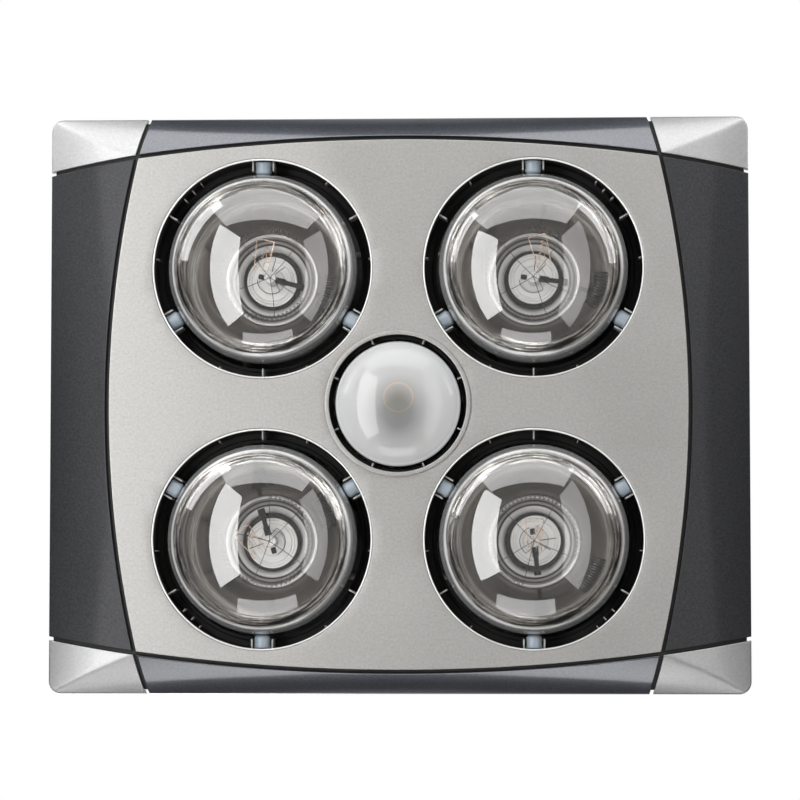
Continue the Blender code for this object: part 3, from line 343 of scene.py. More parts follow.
def makeZinc():
    # galvanised sheet with its spangle
    material, tree, shader, place = startMaterial("galvanisedSheet", {"Metallic": 0.9})
    cells = addNode(tree, "TexVoronoi", {"Scale": 95}, {"Vector": place})
    grey = addNode(tree, "RGBToBW", {}, {"Color": cells.outputs["Color"]})
    cloud = addRange(tree, addNoise(tree, place, 18, 4.0), 0.15, 0.45)
    blend = addNode(tree, "Math", {1: 0.45}, {0: grey.outputs["Val"], 2: cloud})
    blend.operation = "MULTIPLY_ADD"
    spangle = blend.outputs["Value"]
    stops = [(0.1, (0.165, 0.172, 0.176)), (0.5, (0.21, 0.217, 0.221)), (0.9, (0.255, 0.262, 0.266))]
    feed(tree, shader, {
        "Base Color": addRamp(tree, spangle, stops),
        "Roughness": addRange(tree, spangle, 0.56, 0.42, 0.2, 0.8),
    })
    addBump(tree, shader, spangle, 0.00003, 0.4)
    return material


def keptValue(tree, name, output):
    kept = tree.nodes.new("ShaderNodeAttribute")
    kept.attribute_name = name
    return kept.outputs[output]


def reachZones(tree, stops):
    # a ramp over the distance from the lamp's axis, which the bowl keeps as an attribute
    greys = [(place, (value, value * (0.4 + 0.6 * warmth), value * warmth)) for place, value, warmth in stops]
    return addRamp(tree, keptValue(tree, "reach", "Fac"), greys)


def plainZones(tree, stops, warmth=1.0):
    return reachZones(tree, [(place, value, warmth) for place, value in stops])


def mixColours(tree, first, second, factor):
    # the factor is linked, so it changes over the surface
    blend = tree.nodes.new("ShaderNodeMix")
    blend.data_type = "RGBA"
    feed(tree, blend, {"Factor": factor, "A": first, "B": second})
    return blend.outputs["Result"]


def blendColours(tree, kind, first, second, factor=1.0):
    blend = tree.nodes.new("ShaderNodeMix")
    blend.data_type, blend.blend_type = "RGBA", kind
    blend.inputs["Factor"].default_value = factor
    feed(tree, blend, {"A": first, "B": second})
    return blend.outputs["Result"]


def makeClearGlass():
    # clear over most of the front, filmed with the mirror's metal towards the rim
    values = {"Transmission Weight": 1.0, "Roughness": 0.0, "IOR": 1.46, "Base Color": (1, 1, 1, 1)}
    material, tree, shader, place = startMaterial("clearGlass", values)
    addBump(tree, shader, addNoise(tree, place, 40, 3.0), 0.00002, 0.3)
    marks = addNoise(tree, keptValue(tree, "swirl", "Vector"), 1.0, 3.0, 0.6)
    greys = [(0.34, 0.02), (0.43, 0.08), (0.48, 0.85), (0.52, 0.98), (0.56, 0.14), (0.61, 1.0), (0.68, 0.18)]
    streaks = addRamp(tree, marks, [(spot, (grey, grey * 0.97, grey * 0.93)) for spot, grey in greys])
    rim = plainZones(tree, [(0.86, 0.0), (0.915, 0.0), (0.925, 0.75), (0.94, 0.85), (0.952, 0.16),
                            (0.968, 0.48), (1.0, 0.62)], 1.03)
    rimShare = plainZones(tree, [(0.915, 0.0), (0.925, 0.85)])
    plated = addNode(tree, "BsdfPrincipled", {"Metallic": 0.85, "Roughness": 0.24},
                     {"Base Color": mixColours(tree, streaks, rim, rimShare)})
    # how much film there is: none in the middle, broken streaks, then whole
    white, black = (1, 1, 1), (0, 0, 0)
    threads = addRamp(tree, marks, [(0.44, white), (0.47, black), (0.53, black), (0.56, white)])
    reached = plainZones(tree, [(0.8, 0.0), (0.86, 0.75), (0.915, 0.9)])
    broken = blendColours(tree, "MULTIPLY", threads, reached)
    whole = plainZones(tree, [(0.912, 0.0), (0.924, 1.0)])
    amount = blendColours(tree, "LIGHTEN", broken, whole)
    filmed = addNode(tree, "MixShader", {}, {
        "Fac": amount, 1: shader.outputs["BSDF"], 2: plated.outputs["BSDF"]})
    # lets lamps through, so that what it covers is lit
    path = tree.nodes.new("ShaderNodeLightPath")
    clear = tree.nodes.new("ShaderNodeBsdfTransparent")
    mix = addNode(tree, "MixShader", {}, {
        "Fac": path.outputs["Is Shadow Ray"], 1: filmed.outputs["Shader"], 2: clear.outputs["BSDF"]})
    feed(tree, tree.nodes["Material Output"], {"Surface": mix.outputs["Shader"]})
    return material


def makeMirror():
    # evaporated aluminium: satin bands by the neck and at the rim, a clear mirror between them, and
    # spinning marks that run round the whole reflector
    material, tree, shader, _ = startMaterial("lampMirror", {})
    ground = reachZones(tree, [
        (0.3, 0.4, 0.97), (0.335, 0.66, 0.98), (0.375, 0.74, 0.98), (0.388, 0.6, 0.98),
        (0.394, 0.004, 0.9), (0.409, 0.004, 0.9), (0.416, 0.42, 0.95), (0.434, 0.28, 0.95),
        (0.442, 0.008, 0.92), (0.454, 0.008, 0.92), (0.46, 0.36, 0.95), (0.466, 0.3, 0.95),
        (0.471, 0.008, 0.92), (0.479, 1.0, 1.0), (0.5, 1.0, 1.0), (0.508, 0.1, 0.92),
        (0.53, 0.4, 0.88), (0.57, 0.24, 0.86), (0.7, 0.22, 0.86), (0.78, 0.48, 0.9),
        (0.8, 1.0, 0.99), (0.845, 1.0, 0.99), (0.858, 0.48, 0.92), (0.925, 0.45, 0.93),
        (0.94, 0.3, 0.97), (0.985, 0.36, 0.98),
    ])
    metallic = plainZones(tree, [(0.474, 0.25), (0.515, 1.0), (0.92, 1.0), (0.945, 0.45)])
    gloss = plainZones(tree, [(0.474, 0.34), (0.515, 0.035), (0.78, 0.04), (0.8, 0.2), (0.845, 0.2),
                              (0.858, 0.06), (0.92, 0.08), (0.945, 0.26)])
    swirl = keptValue(tree, "swirl", "Vector")
    marks = addNoise(tree, swirl, 1.0, 4.0, 0.62)
    streaks = addRamp(tree, marks, [
        (0.3, (0.16, 0.145, 0.13)), (0.41, (0.62, 0.6, 0.57)), (0.5, (0.95, 0.94, 0.92)),
        (0.56, (0.55, 0.53, 0.5)), (0.63, (1.0, 1.0, 1.0)), (0.7, (0.3, 0.28, 0.26)),
    ])
    clouds = addRamp(tree, addNoise(tree, swirl, 0.34), [(0.35, (0.55, 0.53, 0.5)), (0.65, (1.0, 1.0, 1.0))])
    where = plainZones(tree, [(0.47, 0.25), (0.5, 0.3), (0.56, 0.4), (0.7, 0.48), (0.78, 0.7),
                              (0.86, 0.95), (0.93, 0.95), (0.96, 0.35)])
    mixed = mixColours(tree, ground, blendColours(tree, "MULTIPLY", ground, streaks), where)
    colour = blendColours(tree, "MULTIPLY", mixed, clouds, 0.75)
    feed(tree, shader, {"Base Color": colour, "Metallic": metallic, "Roughness": gloss})
    addBump(tree, shader, marks, 0.00012)
    return material


def radialShare(tree, place, shift, reach, stretch=(1, 1, 0)):
    # 0 on an upright axis and 1 at the reach
    length = tree.nodes.new("ShaderNodeVectorMath")
    length.operation = "LENGTH"
    tree.links.new(addMapping(tree, place, stretch, shift), length.inputs[0])
    return addRange(tree, length.outputs["Value"], 0.0, 1.0, 0.0, reach)


def makeFrosted():
    # satin glass: the neck shows through it as a soft grey painted shade below a faint bronze ring, all
    # painted into its colour, with a painted highlight along its rim and a painted glow
    values = {"Coat Weight": 0.45, "Coat Roughness": 0.01, "Specular IOR Level": 0.12,
              "Subsurface Radius": (1, 1, 1), "Subsurface Weight": 0.5, "Subsurface Scale": 0.008,
              "Emission Strength": 1.12}
    material, tree, shader, place = startMaterial("frostedGlass", values)
    shade = radialShare(tree, place, (-0.0006, -0.0066, 0), 0.036, (0.95, 0.9, 0))
    # painted shade: darkest a little below the middle, where the neck lies behind the glass
    paintedNeckShade = addRamp(tree, shade, [
        (0.0, (0.08, 0.082, 0.081)), (0.22, (0.09, 0.092, 0.091)), (0.42, (0.14, 0.141, 0.141)),
        (0.66, (0.186, 0.186, 0.186)), (1.0, (0.205, 0.207, 0.208)),
    ])
    ring = addRamp(tree, radialShare(tree, place, (-0.001, 0.0031, 0), 0.02), [
        (0.0, (0.86, 0.8, 0.7)), (0.22, (0.93, 0.9, 0.85)), (0.43, (1, 0.98, 0.95)),
        (0.48, (1.4, 1.15, 0.92)), (0.52, (1.0, 0.97, 0.92)), (0.58, (1, 1, 1)),
    ])
    # painted highlight: a brighter line just inside the rim
    paintedRimHighlight = addRamp(tree, radialShare(tree, place, (0, 0, 0), 0.0414), [
        (0.945, (1, 1, 1)), (0.965, (1.35, 1.36, 1.37)), (1.0, (1.25, 1.26, 1.27)),
    ])
    paintedShadeAndHighlight = blendColours(tree, "MULTIPLY", blendColours(tree, "MULTIPLY", paintedNeckShade, ring), paintedRimHighlight)
    etch = addNoise(tree, place, 900, 3.0)
    feed(tree, shader, {
        "Base Color": paintedShadeAndHighlight,
        "Emission Color": paintedShadeAndHighlight,  # painted glow, standing in for light that its own mirror throws back
        "Roughness": addRange(tree, etch, 0.26, 0.36),
    })
    addBump(tree, shader, etch, 0.00001, 0.3)
    return material


silverLook = {
    "low": (0.25, 0.246, 0.238), "high": (0.33, 0.325, 0.315), "metallic": 0.8, "coat": 0.35,
    "flakeScale": 620, "flakeHeight": 0.00005, "roughness": (0.44, 0.5),
}
# painted shade: the silver paint made a little darker and cooler for the corner caps, which wear the same
# silver as the centre panel
capShadedLook = dict(silverLook, low=(0.243, 0.244, 0.246), high=(0.307, 0.308, 0.311))
charcoalLook = {
    "low": (0.0016, 0.0019, 0.0028), "high": (0.0185, 0.0196, 0.0228), "metallic": 0.5, "coat": 0.12,
    "flakeScale": 700, "flakeHeight": 0.00006, "roughness": (0.54, 0.62),
}
slateLook = {
    "low": (0.021, 0.024, 0.031), "high": (0.047, 0.052, 0.065), "metallic": 0.5, "coat": 1.0,
    "flakeScale": 700, "flakeHeight": 0.00004, "roughness": (0.28, 0.34),
}
# the others: name, darkest and lightest colour, lowest and highest roughness, then what makes it special
finishes = {
    "silver": makePaint("silverPaint", silverLook),
    "capShadedSilver": makePaint("capShadedSilverPaint", capShadedLook),
    "charcoal": makePaint("charcoalPaint", charcoalLook),
    "slate": makePaint("slatePaint", slateLook),
    "black": makePlastic("blackMoulding", (0.011, 0.011, 0.0107), (0.0185, 0.0185, 0.0181), (0.5, 0.62),
                         shine=0.17),
    "silicone": makePlastic("silicone", (0.155, 0.185, 0.215), (0.19, 0.225, 0.255), (0.42, 0.5),
                            coat=0.2, subsurface=0.3),
    "lamp_glass": makeMirror(),
    "frosted_glass": makeFrosted(),
    "ceramic": makePlastic("whiteCeramic", (0.46, 0.445, 0.41), (0.56, 0.545, 0.505), (0.35, 0.55),
                           500, 0.00005),
    "zinc": makeZinc(),
    "spring_steel": makeMetal("springSteel", (0.22, 0.225, 0.24), (0.3, 0.305, 0.31), (0.22, 0.38),
                              (1, 1, 12)),
    "motor_enamel": makePlastic("motorEnamel", (0.07, 0.08, 0.09), (0.1, 0.11, 0.12), (0.34, 0.46),
                                260, 0.00008, 0.2),
    "steel": makeMetal("brightSteel", (0.34, 0.34, 0.34), (0.44, 0.44, 0.435), (0.18, 0.34), (1, 1, 6)),
    "white_plastic": makePlastic("whitePlastic", (0.48, 0.48, 0.465), (0.56, 0.56, 0.545), (0.34, 0.46)),
    "grey_plastic": makePlastic("greyPlastic", (0.17, 0.178, 0.186), (0.22, 0.228, 0.236), (0.38, 0.5)),
    "terminal": makePlastic("terminalPlastic", (0.66, 0.64, 0.58), (0.76, 0.74, 0.68), (0.36, 0.5)),
    "sleeve": makePlastic("glassSleeve", (0.58, 0.54, 0.45), (0.72, 0.68, 0.58), (0.65, 0.8), 1100, 0.00012),
}
clearGlass = makeClearGlass()
capMetal = makeMetal("nickelledCap", (0.52, 0.48, 0.4), (0.66, 0.62, 0.53), (0.22, 0.36), (8, 8, 1))
copperWire = makeMetal("copperWire", (0.52, 0.37, 0.29), (0.66, 0.5, 0.4), (0.22, 0.34))
coilWire = makeMetal("coilWire", (0.016, 0.015, 0.014), (0.045, 0.042, 0.039), (0.3, 0.42))
discMetal = makeMetal("discMetal", (0.5, 0.496, 0.485), (0.62, 0.615, 0.602), (0.3, 0.42),
                      grain=300, metallic=0.3)
# painted highlight: the ribs of the black wells get a pale grey that stands in for the light catching their
# edges
ribPaintedHighlight = makePlastic("ribPaintedHighlight", (0.2, 0.2, 0.195), (0.27, 0.27, 0.262), (0.34, 0.42))
# painted highlight: a lighter, less metallic silver on the hole lips, standing in for the light their rounded
# edge catches
lipPaintedHighlight = makeMetal("lipPaintedHighlight", (0.46, 0.458, 0.45), (0.54, 0.537, 0.53), (0.28, 0.36), metallic=0.3)
darkMetal = makeMetal("darkMetal", (0.0035, 0.0032, 0.003), (0.008, 0.0074, 0.007), (0.42, 0.56))
brass = makeMetal("brass", (0.6, 0.46, 0.22), (0.72, 0.56, 0.3), (0.22, 0.34))
print("materials made")

# fascia panels
fascia = {
    "sideArc": 0.716, "endArc": 1.26,  # radii of the gaps' arcs
    "gap": 0.0025, "wall": 0.0022, "skirt": 0.0024, "skirtEnd": -0.0005,
    "drop": 0.016, "slopeShare": 0.7, "ridge": 0.04,
    "corner": 0.0083, "edge": 0.0006, "nearEdge": 0.0012, "outerEdge": 0.001,
}
fascia["centreHalfLength"] = lampOffset + lampHole + 0.0311
fascia["centreHalfWidth"] = lampOffset + lampHole + 0.0149
fascia["halfLength"] = fascia["centreHalfLength"] + 0.0399
fascia["halfWidth"] = fascia["centreHalfWidth"] + 0.0151


def sideEdge(y):
    return fascia["centreHalfLength"] - fascia["sideArc"] + math.sqrt(fascia["sideArc"] ** 2 - y * y)


def endEdge(x):
    return fascia["centreHalfWidth"] - fascia["endArc"] + math.sqrt(fascia["endArc"] ** 2 - x * x)


def facetFall(x, y):
    sideRun = (abs(x) - sideEdge(y)) / (fascia["halfLength"] - sideEdge(y))
    endRun = (abs(y) - endEdge(x)) / (fascia["halfWidth"] - endEdge(x))
    run = max(sideRun, endRun)
    if sideRun > 0 and endRun > 0:
        paintedNeckShade = fascia["ridge"] * min(1.0, 4 * min(sideRun, endRun))
        run = (sideRun + endRun + math.sqrt((sideRun - endRun) ** 2 + paintedNeckShade ** 2)) / 2
    run = max(0.0, min(run, 1.0))
    return fascia["drop"] * (fascia["slopeShare"] * run + (1 - fascia["slopeShare"]) * run ** 3)


def zoneLines(zone):
    # grid lines of one zone: (share across it, inset from that end), close together near its ends
    edge = [step * fascia["edge"] / 5 for step in range(6)]
    lines = [(0.0, inset) for inset in edge] + [(0.0, fascia["nearEdge"])]
    if zone == 0:
        lines += [(step / 44, 0.0) for step in range(1, 44)]
        return lines + [(1.0, -fascia["nearEdge"])] + [(1.0, -inset) for inset in edge[::-1]]
    outer = [fascia["corner"], 0.0072, 0.0061, 0.005, 0.004, 0.0032, 0.0024, 0.0018, 0.0014]
    outer += [fascia["outerEdge"] * (1 - step / 6) for step in range(7)]
    lines += [("run", step / 20) for step in range(1, 20)]
    return lines + [(1.0, -inset) for inset in outer]


def alongAxis(zone, line, edge, outer):
    share, inset = line
    half = fascia["gap"] / 2
    low, high = (half - edge, edge - half) if zone == 0 else (edge + half, outer)
    if share == "run":
        return zone * (low + inset * (high - fascia["corner"] - low))
    place = low + share * (high - low) + inset
    return place if zone == 0 else zone * place


def fasciaPlace(zoneX, zoneY, column, row):
    x, y = 0.0, 0.0
    for _ in range(8):
        x = alongAxis(zoneX, column, sideEdge(y), fascia["halfLength"])
        y = alongAxis(zoneY, row, endEdge(x), fascia["halfWidth"])
    return x, y


def cornerPlace(x, y):
    # how far a point lies past the start of the outline's round corner
    radius = fascia["corner"]
    return abs(x) - fascia["halfLength"] + radius, abs(y) - fascia["halfWidth"] + radius


def roundOutline(x, y):
    # bend the square corner of the grid into the outline's round corner
    radius = fascia["corner"]
    a, b = cornerPlace(x, y)
    if a <= 0 or b <= 0:
        return x, y
    pull = max(a, b) / math.hypot(a, b)
    x = math.copysign(fascia["halfLength"] - radius + pull * a, x)
    y = math.copysign(fascia["halfWidth"] - radius + pull * b, y)
    return x, y


def outlineInset(x, y):
    # distance inside the fascia's outline
    a, b = cornerPlace(x, y)
    return fascia["corner"] - (math.hypot(a, b) if a > 0 and b > 0 else max(a, b))


def roundedDrop(distance, radius):
    if distance >= radius:
        return 0.0
    return radius - math.sqrt(max(0.0, radius ** 2 - (radius - max(distance, 0.0)) ** 2))


def addSkirt(piece, front):
    # take the back's outer margin down to the ceiling
    shape = bmesh.from_edit_mesh(piece.data)
    shape.verts.ensure_lookup_table()
    for face in shape.faces:
        middle = face.calc_center_median()
        back = all(vertex.index >= front for vertex in face.verts)
        face.select_set(back and outlineInset(middle.x, middle.y) < fascia["skirt"])
    bmesh.update_edit_mesh(piece.data)
    bpy.ops.mesh.extrude_region_move(TRANSFORM_OT_translate={"value": (0, 0, 0.001)})
    shape = bmesh.from_edit_mesh(piece.data)
    for vertex in shape.verts:
        if vertex.select:
            vertex.co.z = fascia["skirtEnd"]
    bmesh.update_edit_mesh(piece.data)


def makePanel(name, zoneX, zoneY):
    columns, rows = zoneLines(zoneX), zoneLines(zoneY)
    deselectAll()
    bpy.ops.mesh.primitive_grid_add(x_subdivisions=len(columns) - 1, y_subdivisions=len(rows) - 1, size=1)
    piece = bpy.context.object
    piece.name = name
    for vertex in piece.data.vertices:
        column = round((vertex.co.x + 0.5) * (len(columns) - 1))
        row = round((vertex.co.y + 0.5) * (len(rows) - 1))
        x, y = fasciaPlace(zoneX, zoneY, columns[column], rows[row])
        if zoneX and zoneY:
            x, y = roundOutline(x, y)
        gapX = abs(abs(x) - sideEdge(y)) - fascia["gap"] / 2
        gapY = abs(abs(y) - endEdge(x)) - fascia["gap"] / 2
        fall = roundedDrop(min(gapX, gapY), fascia["edge"])
        if zoneX or zoneY:
            fall = max(fall, roundedDrop(outlineInset(x, y), fascia["outerEdge"]))
        vertex.co = (x, y, frontZ + facetFall(x, y) + fall)
    front = len(piece.data.vertices)
    pick(piece)
    editAll()
    bpy.ops.mesh.extrude_region_move(TRANSFORM_OT_translate={"value": (0, 0, fascia["wall"])})
    if zoneX or zoneY:
        addSkirt(piece, front)
    closeUp(1e-7)
    bpy.ops.object.mode_set(mode="OBJECT")
    return piece


def cutHole(radius, edge, place):
    # the cutter flares at its mouth, so that the rim it leaves is rounded
    mouth = frontZ - 0.004
    profile = [(0, mouth), (radius + edge, mouth)]
    for step in range(7):
        angle = math.pi / 2 * step / 6
        profile.append((radius + edge * (1 - math.sin(angle)), frontZ + edge * (1 - math.cos(angle))))
    profile += [(radius, 0.0), (0, 0.0)]
    cutWith(centrePanel, latheForm("cutter", profile, 192, place))


rows = {-1: "_front", 0: "", 1: "_back"}
columns = {-1: "_left", 0: "", 1: "_right"}
for kind, slot, look, zones in (
    ("side_panel", "charcoal", "charcoal", ((-1, 0), (1, 0))),
    ("end_strip", "slate", "slate", ((0, -1), (0, 1))),
    ("corner_cap", "silver", "capShadedSilver", quarters),
):
    for zoneX, zoneY in zones:
        name = kind + rows[zoneY] + columns[zoneX]
        finishPiece(makePanel(name + "_skin", zoneX, zoneY), "fascia", slot, (name,), 12, finishes[look])

centrePanel = makePanel("centre_panel_skin", 0, 0)
lip = {"wide": 0.0011, "proud": 0.0002, "deep": 0.0018, "groove": 0.00014}
for spot in lampPlaces.values():
    cutHole(lampHole + lip["wide"] + lip["groove"], 0.0006, spot)
cutHole(centreHole, 0.0003, (0, 0))
finishPiece(centrePanel, "fascia", "silver", ("centre_panel",), 12)
lipHigh, lipLow, lipOuter = frontZ - lip["proud"], frontZ + lip["deep"], lampHole + lip["wide"]
lipLine = [(lampHole, lipLow), (lampHole, lipHigh), (lipOuter, lipHigh), (lipOuter, lipLow)]
lipRing = closedRing("lipRing", lipLine, 0.0005, 5, 192)
for place, spot in lampPlaces.items():
    ring = copyOf(lipRing, "hole_lip_" + place, turned(0, *spot))
    finishPiece(ring, "fascia", "silver", angle=40, look=lipPaintedHighlight)
removeAll(lipRing)
print("fascia panels made")

# raised rim of the centre opening
bezel = {"inner": 0.0455, "outer": 0.0476, "flange": 0.0482, "front": -0.0254, "back": -0.0225}
flangeBack = frontZ - 0.0001
bezelLine = [
    (bezel["inner"], bezel["back"]), (bezel["inner"], bezel["front"]), (bezel["flange"], bezel["front"]),
    (bezel["flange"], flangeBack), (bezel["outer"], flangeBack), (bezel["outer"], bezel["back"]),
]
bezelRing = closedRing("centre_bezel_ring", bezelLine, 0.0005, 5, 192)
finishPiece(bezelRing, "fascia", "silver", ("centre_bezel",), 40)

# lamp wells with their pad brackets, fins and ticks
well = {
    "low": -0.0209, "wall": 0.002, "radius": 0.0723, "height": 0.026, "ledge": 0.065, "ledgeThick": 0.002,
    "centreRadius": 0.0458, "centreHeight": 0.012, "centreLedge": 0.0433,
    "seat": (0.005, 0.0136, 0.008), "seatPlace": (0.07, 0, 0.0002),
    "ear": (0.0066, 0.0011, 0.018), "earReach": 0.0688, "earSpacing": 0.0068, "earZ": -0.0095,
    "fin": (0.0062, 0.001, 0.017), "finPlace": (0.0692, 0, -0.01),
    "bar": (0.001, 0.0086, 0.003), "barPlace": (0.0688, 0, -0.004),
    "rib": (0.0034, 0.001, 0.007), "ribPlace": (0.0442, 0, -0.0165),
}
# small ticks either side of each fin and either side of the bar
finTick = {"size": (0.002, 0.0007, 0.013), "place": (0.0712, 0, -0.0085), "lean": 0.42}
barTick = {"size": (0.0026, 0.0009, 0.011), "place": (0.07, 0, -0.009), "lean": 0.055}


def wellLine(radius, height, ledge):
    low, wall, high = well["low"], well["wall"], well["low"] + height
    under = high - well["ledgeThick"]
    return [
        (radius, low), (radius + wall, low), (radius + wall, high), (ledge, high), (ledge, under),
        (ledge + 0.0022, under), (ledge + 0.0028, high - 0.0032), (radius - 0.0012, high - 0.0032),
        (radius, high - 0.0044),
    ]


def padAngles(place):
    first = -math.pi / 2 if "front" in place else math.pi / 2
    return [first + 2 * math.pi * number / 3 for number in range(3)]


def makeRibs(first, outward):
    # ears beside the pads, long fins between them and small ticks
    finTurn = first + math.pi / 3
    ribs = boxRing("fin", 3, finTurn, well["fin"], well["finPlace"])
    for side in sides:
        earPlace = (well["earReach"], side * well["earSpacing"], well["earZ"])
        ribs += boxRing("ear", 3, first, well["ear"], earPlace)
        for tick, count, middle in ((finTick, 3, finTurn), (barTick, 1, outward)):
            ribs += boxRing("tick", count, middle + side * tick["lean"], tick["size"], tick["place"], 0.0002)
    return ribs


for place, (x, y) in lampPlaces.items():
    name = "lamp_well_" + place
    here = turned(0, x, y)
    first, outward = padAngles(place)[0], math.atan2(y, x)
    parts = [closedRing("ring", wellLine(well["radius"], well["height"], well["ledge"]), 0.0004)]
    parts += boxRing("seat", 3, first, well["seat"], well["seatPlace"], 0.0005)
    parts += boxRing("bar", 1, outward, well["bar"], well["barPlace"])
    finishPiece(moveMesh(joinAll(parts, name + "_ring"), here), "fascia", "black", (name,))
    ribPiece = moveMesh(joinAll(makeRibs(first, outward), name + "_ribs"), here)
    finishPiece(ribPiece, "fascia", "black", look=ribPaintedHighlight)

centreLine = wellLine(well["centreRadius"], well["centreHeight"], well["centreLedge"])
centreRing = closedRing("centre_well_ring", centreLine, 0.0004, steps=128)
finishPiece(centreRing, "fascia", "black", ("centre_well",))
parts = boxRing("rib", 8, math.radians(22.5), well["rib"], well["ribPlace"], 0.0002)
finishPiece(joinAll(parts, "centre_well_ribs"), "fascia", "black", look=ribPaintedHighlight)
print("lamp wells made")

# silicone pads: a round plug on a flat foot
pad = {"inner": 0.0628, "outer": 0.0717, "radius": 0.0054, "middleZ": -0.0143, "footWide": 0.0003}
padFoot = pad["radius"] + pad["footWide"]
padLine = [
    (0, pad["inner"]), (pad["radius"] - 0.0018, pad["inner"]), (pad["radius"], pad["inner"] + 0.0018),
    (pad["radius"], pad["outer"] - 0.0016), (padFoot, pad["outer"] - 0.0012), (padFoot, pad["outer"]),
    (0, pad["outer"]),
]
plug = latheForm("plug", roundCorners(padLine, 0.0008, 3), 40)
moveMesh(plug, Matrix.Translation((0, 0, pad["middleZ"])) @ Matrix.Rotation(math.pi / 2, 4, "Y"))
for place, (x, y) in lampPlaces.items():
    for number, angle in enumerate(padAngles(place)):
        name = f"bumper_pad_{place}_{number + 1}"
        finishPiece(copyOf(plug, name + "_plug", turned(angle, x, y)), "fascia", "silicone", (name,))
removeAll(plug)
print("pads made")

# heat lamps
heatLamp = {
    "rim": -0.02, "radius": 0.0625, "dome": 0.034, "body": 0.088, "neckRadius": 0.0195, "neck": 0.027,
    "belly": 3.0, "power": 1.15, "wall": 0.001, "domeWall": 0.0008, "taper": 0.006,
    "capRadius": 0.0132, "capLength": 0.0245, "threads": 6,
    "discZ": 0.062, "discRadius": 0.0172, "ringInner": 0.017, "ringOuter": 0.0201, "ringLow": 0.0638,
}
# beads pressed into the reflector: (distance from the axis, height, width)
reflectorBeads = [
    (0.0306, 0.00045, 0.0016), (0.0249, -0.0004, 0.001), (0.0276, 0.00012, 0.0012),
    (0.0222, 0.00012, 0.0012), (0.0565, 0.00022, 0.0014), (0.0541, 0.00018, 0.0013),
    (0.0518, 0.00012, 0.0013), (0.0588, 0.00025, 0.0012),
]


def domeLine(look, steps):
    # a thin closed shell from the rim to the front of the dome and back inside
    outer, inner = [], []
    for step in range(steps + 1):
        angle = math.pi / 2 * step / steps
        for line, inset in ((outer, 0), (inner, look["domeWall"])):
            radius, depth = look["radius"] - inset, look["dome"] - inset
            line.append((radius * math.sin(angle), look["rim"] - depth * math.cos(angle)))
    return outer + inner[::-1]


def bodyRadius(look, share, inset):
    spread = (1 - share ** look["belly"]) ** look["power"]
    return look["neckRadius"] + (look["radius"] - look["neckRadius"]) * spread - inset


def beadRise(radius, beads):
    rise = 0.0
    for middle, height, width in beads:
        away = abs(radius - middle) / width
        if away < 1:
            rise += height * (1 + math.cos(math.pi * away)) / 2
    return rise


def bodyLine(look, steps, fineSteps, beads=()):
    # the reflector: outside of the glass up to the cap, then the mirror inside it
    rim, body, capRadius = look["rim"], look["body"], look["capRadius"]
    outer = [(bodyRadius(look, step / steps, 0), rim + body * step / steps) for step in range(steps + 1)]
    neckTop = rim + body + look["neck"]
    outer += [(look["neckRadius"], neckTop), (capRadius + 0.001, neckTop + look["taper"] * 0.8),
              (capRadius - 0.001, neckTop + look["taper"])]
    inner = []
    for step in range(fineSteps + 1):
        share = step / fineSteps
        radius = bodyRadius(look, share, look["wall"])
        inner.append((radius - beadRise(radius, beads), rim + body * share))
    inner += [(look["neckRadius"] - look["wall"], neckTop - 0.004), (capRadius - 0.002, neckTop)]
    return outer + inner[::-1]


def keepReach(piece, look):
    # each point's distance from the lamp's axis as a share of the rim's, for the mirror's zones
    # and a vector that changes fast outwards and slowly round it, for the spinning marks
    reach = piece.data.attributes.new("reach", "FLOAT", "POINT")
    swirl = piece.data.attributes.new("swirl", "FLOAT_VECTOR", "POINT")
    for index, vertex in enumerate(piece.data.vertices):
        share = math.hypot(vertex.co.x, vertex.co.y) / look["radius"]
        angle = math.atan2(vertex.co.y, vertex.co.x)
        reach.data[index].value = share
        swirl.data[index].vector = (1.3 * math.cos(angle), 1.3 * math.sin(angle), 46 * share)


def capTop(look):
    # low and high ends of the screw cap
    low = look["rim"] + look["body"] + look["neck"] + look["taper"]
    return low, low + look["capLength"]


def capLine(look):
    # screw cap: rolled threads and the black insulator's seat
    radius, (low, top) = look["capRadius"], capTop(look)
    root = radius - 0.001
    line = [(0, low - 0.0008), (radius - 0.0016, low - 0.0008), (radius - 0.0004, low)]
    pitch = (look["capLength"] - 0.005) / look["threads"]
    for thread in range(look["threads"]):
        start = low + 0.0015 + pitch * thread
        line += [(root, start), (radius, start + pitch * 0.35), (radius, start + pitch * 0.6),
                 (root, start + pitch * 0.92)]
    line += [(root, top - 0.003), (radius - 0.0028, top - 0.0012)]
    return line + [(0.0062, top - 0.0004), (0, top - 0.0004)]


def contactLine(look):
    top = capTop(look)[1]
    return [(0, top - 0.0012), (0.007, top - 0.0012), (0.0064, top), (0.005, top + 0.0002),
            (0.0047, top + 0.0012), (0.003, top + 0.0015), (0, top + 0.0015)]


def discLine(radius, low, wall, grooves):
    # a thin disc with concentric grooves in its front
    line, deep = [(0, low)], low + 0.0009
    for middle in grooves:
        line += [(middle - 0.0005, low), (middle - 0.0002, deep)]
        line += [(middle + 0.0002, deep), (middle + 0.0005, low)]
    return line + [(radius - 0.0003, low), (radius, low + 0.0003), (radius, low + wall), (0, low + wall)]


def coilPoints(start, end, radius, turns, perTurn=8):
    # a helix from one point to another
    start, end = Vector(start), Vector(end)
    along = (end - start).normalized()
    side = along.orthogonal().normalized()
    other = along.cross(side)
    points = []
    for step in range(turns * perTurn + 1):
        angle = 2 * math.pi * step / perTurn
        axis = start.lerp(end, step / (turns * perTurn))
        points.append(axis + side * radius * math.cos(angle) + other * radius * math.sin(angle))
    return points


def roundAxis(radius, angle, height):
    return radius * math.cos(angle), radius * math.sin(angle), height


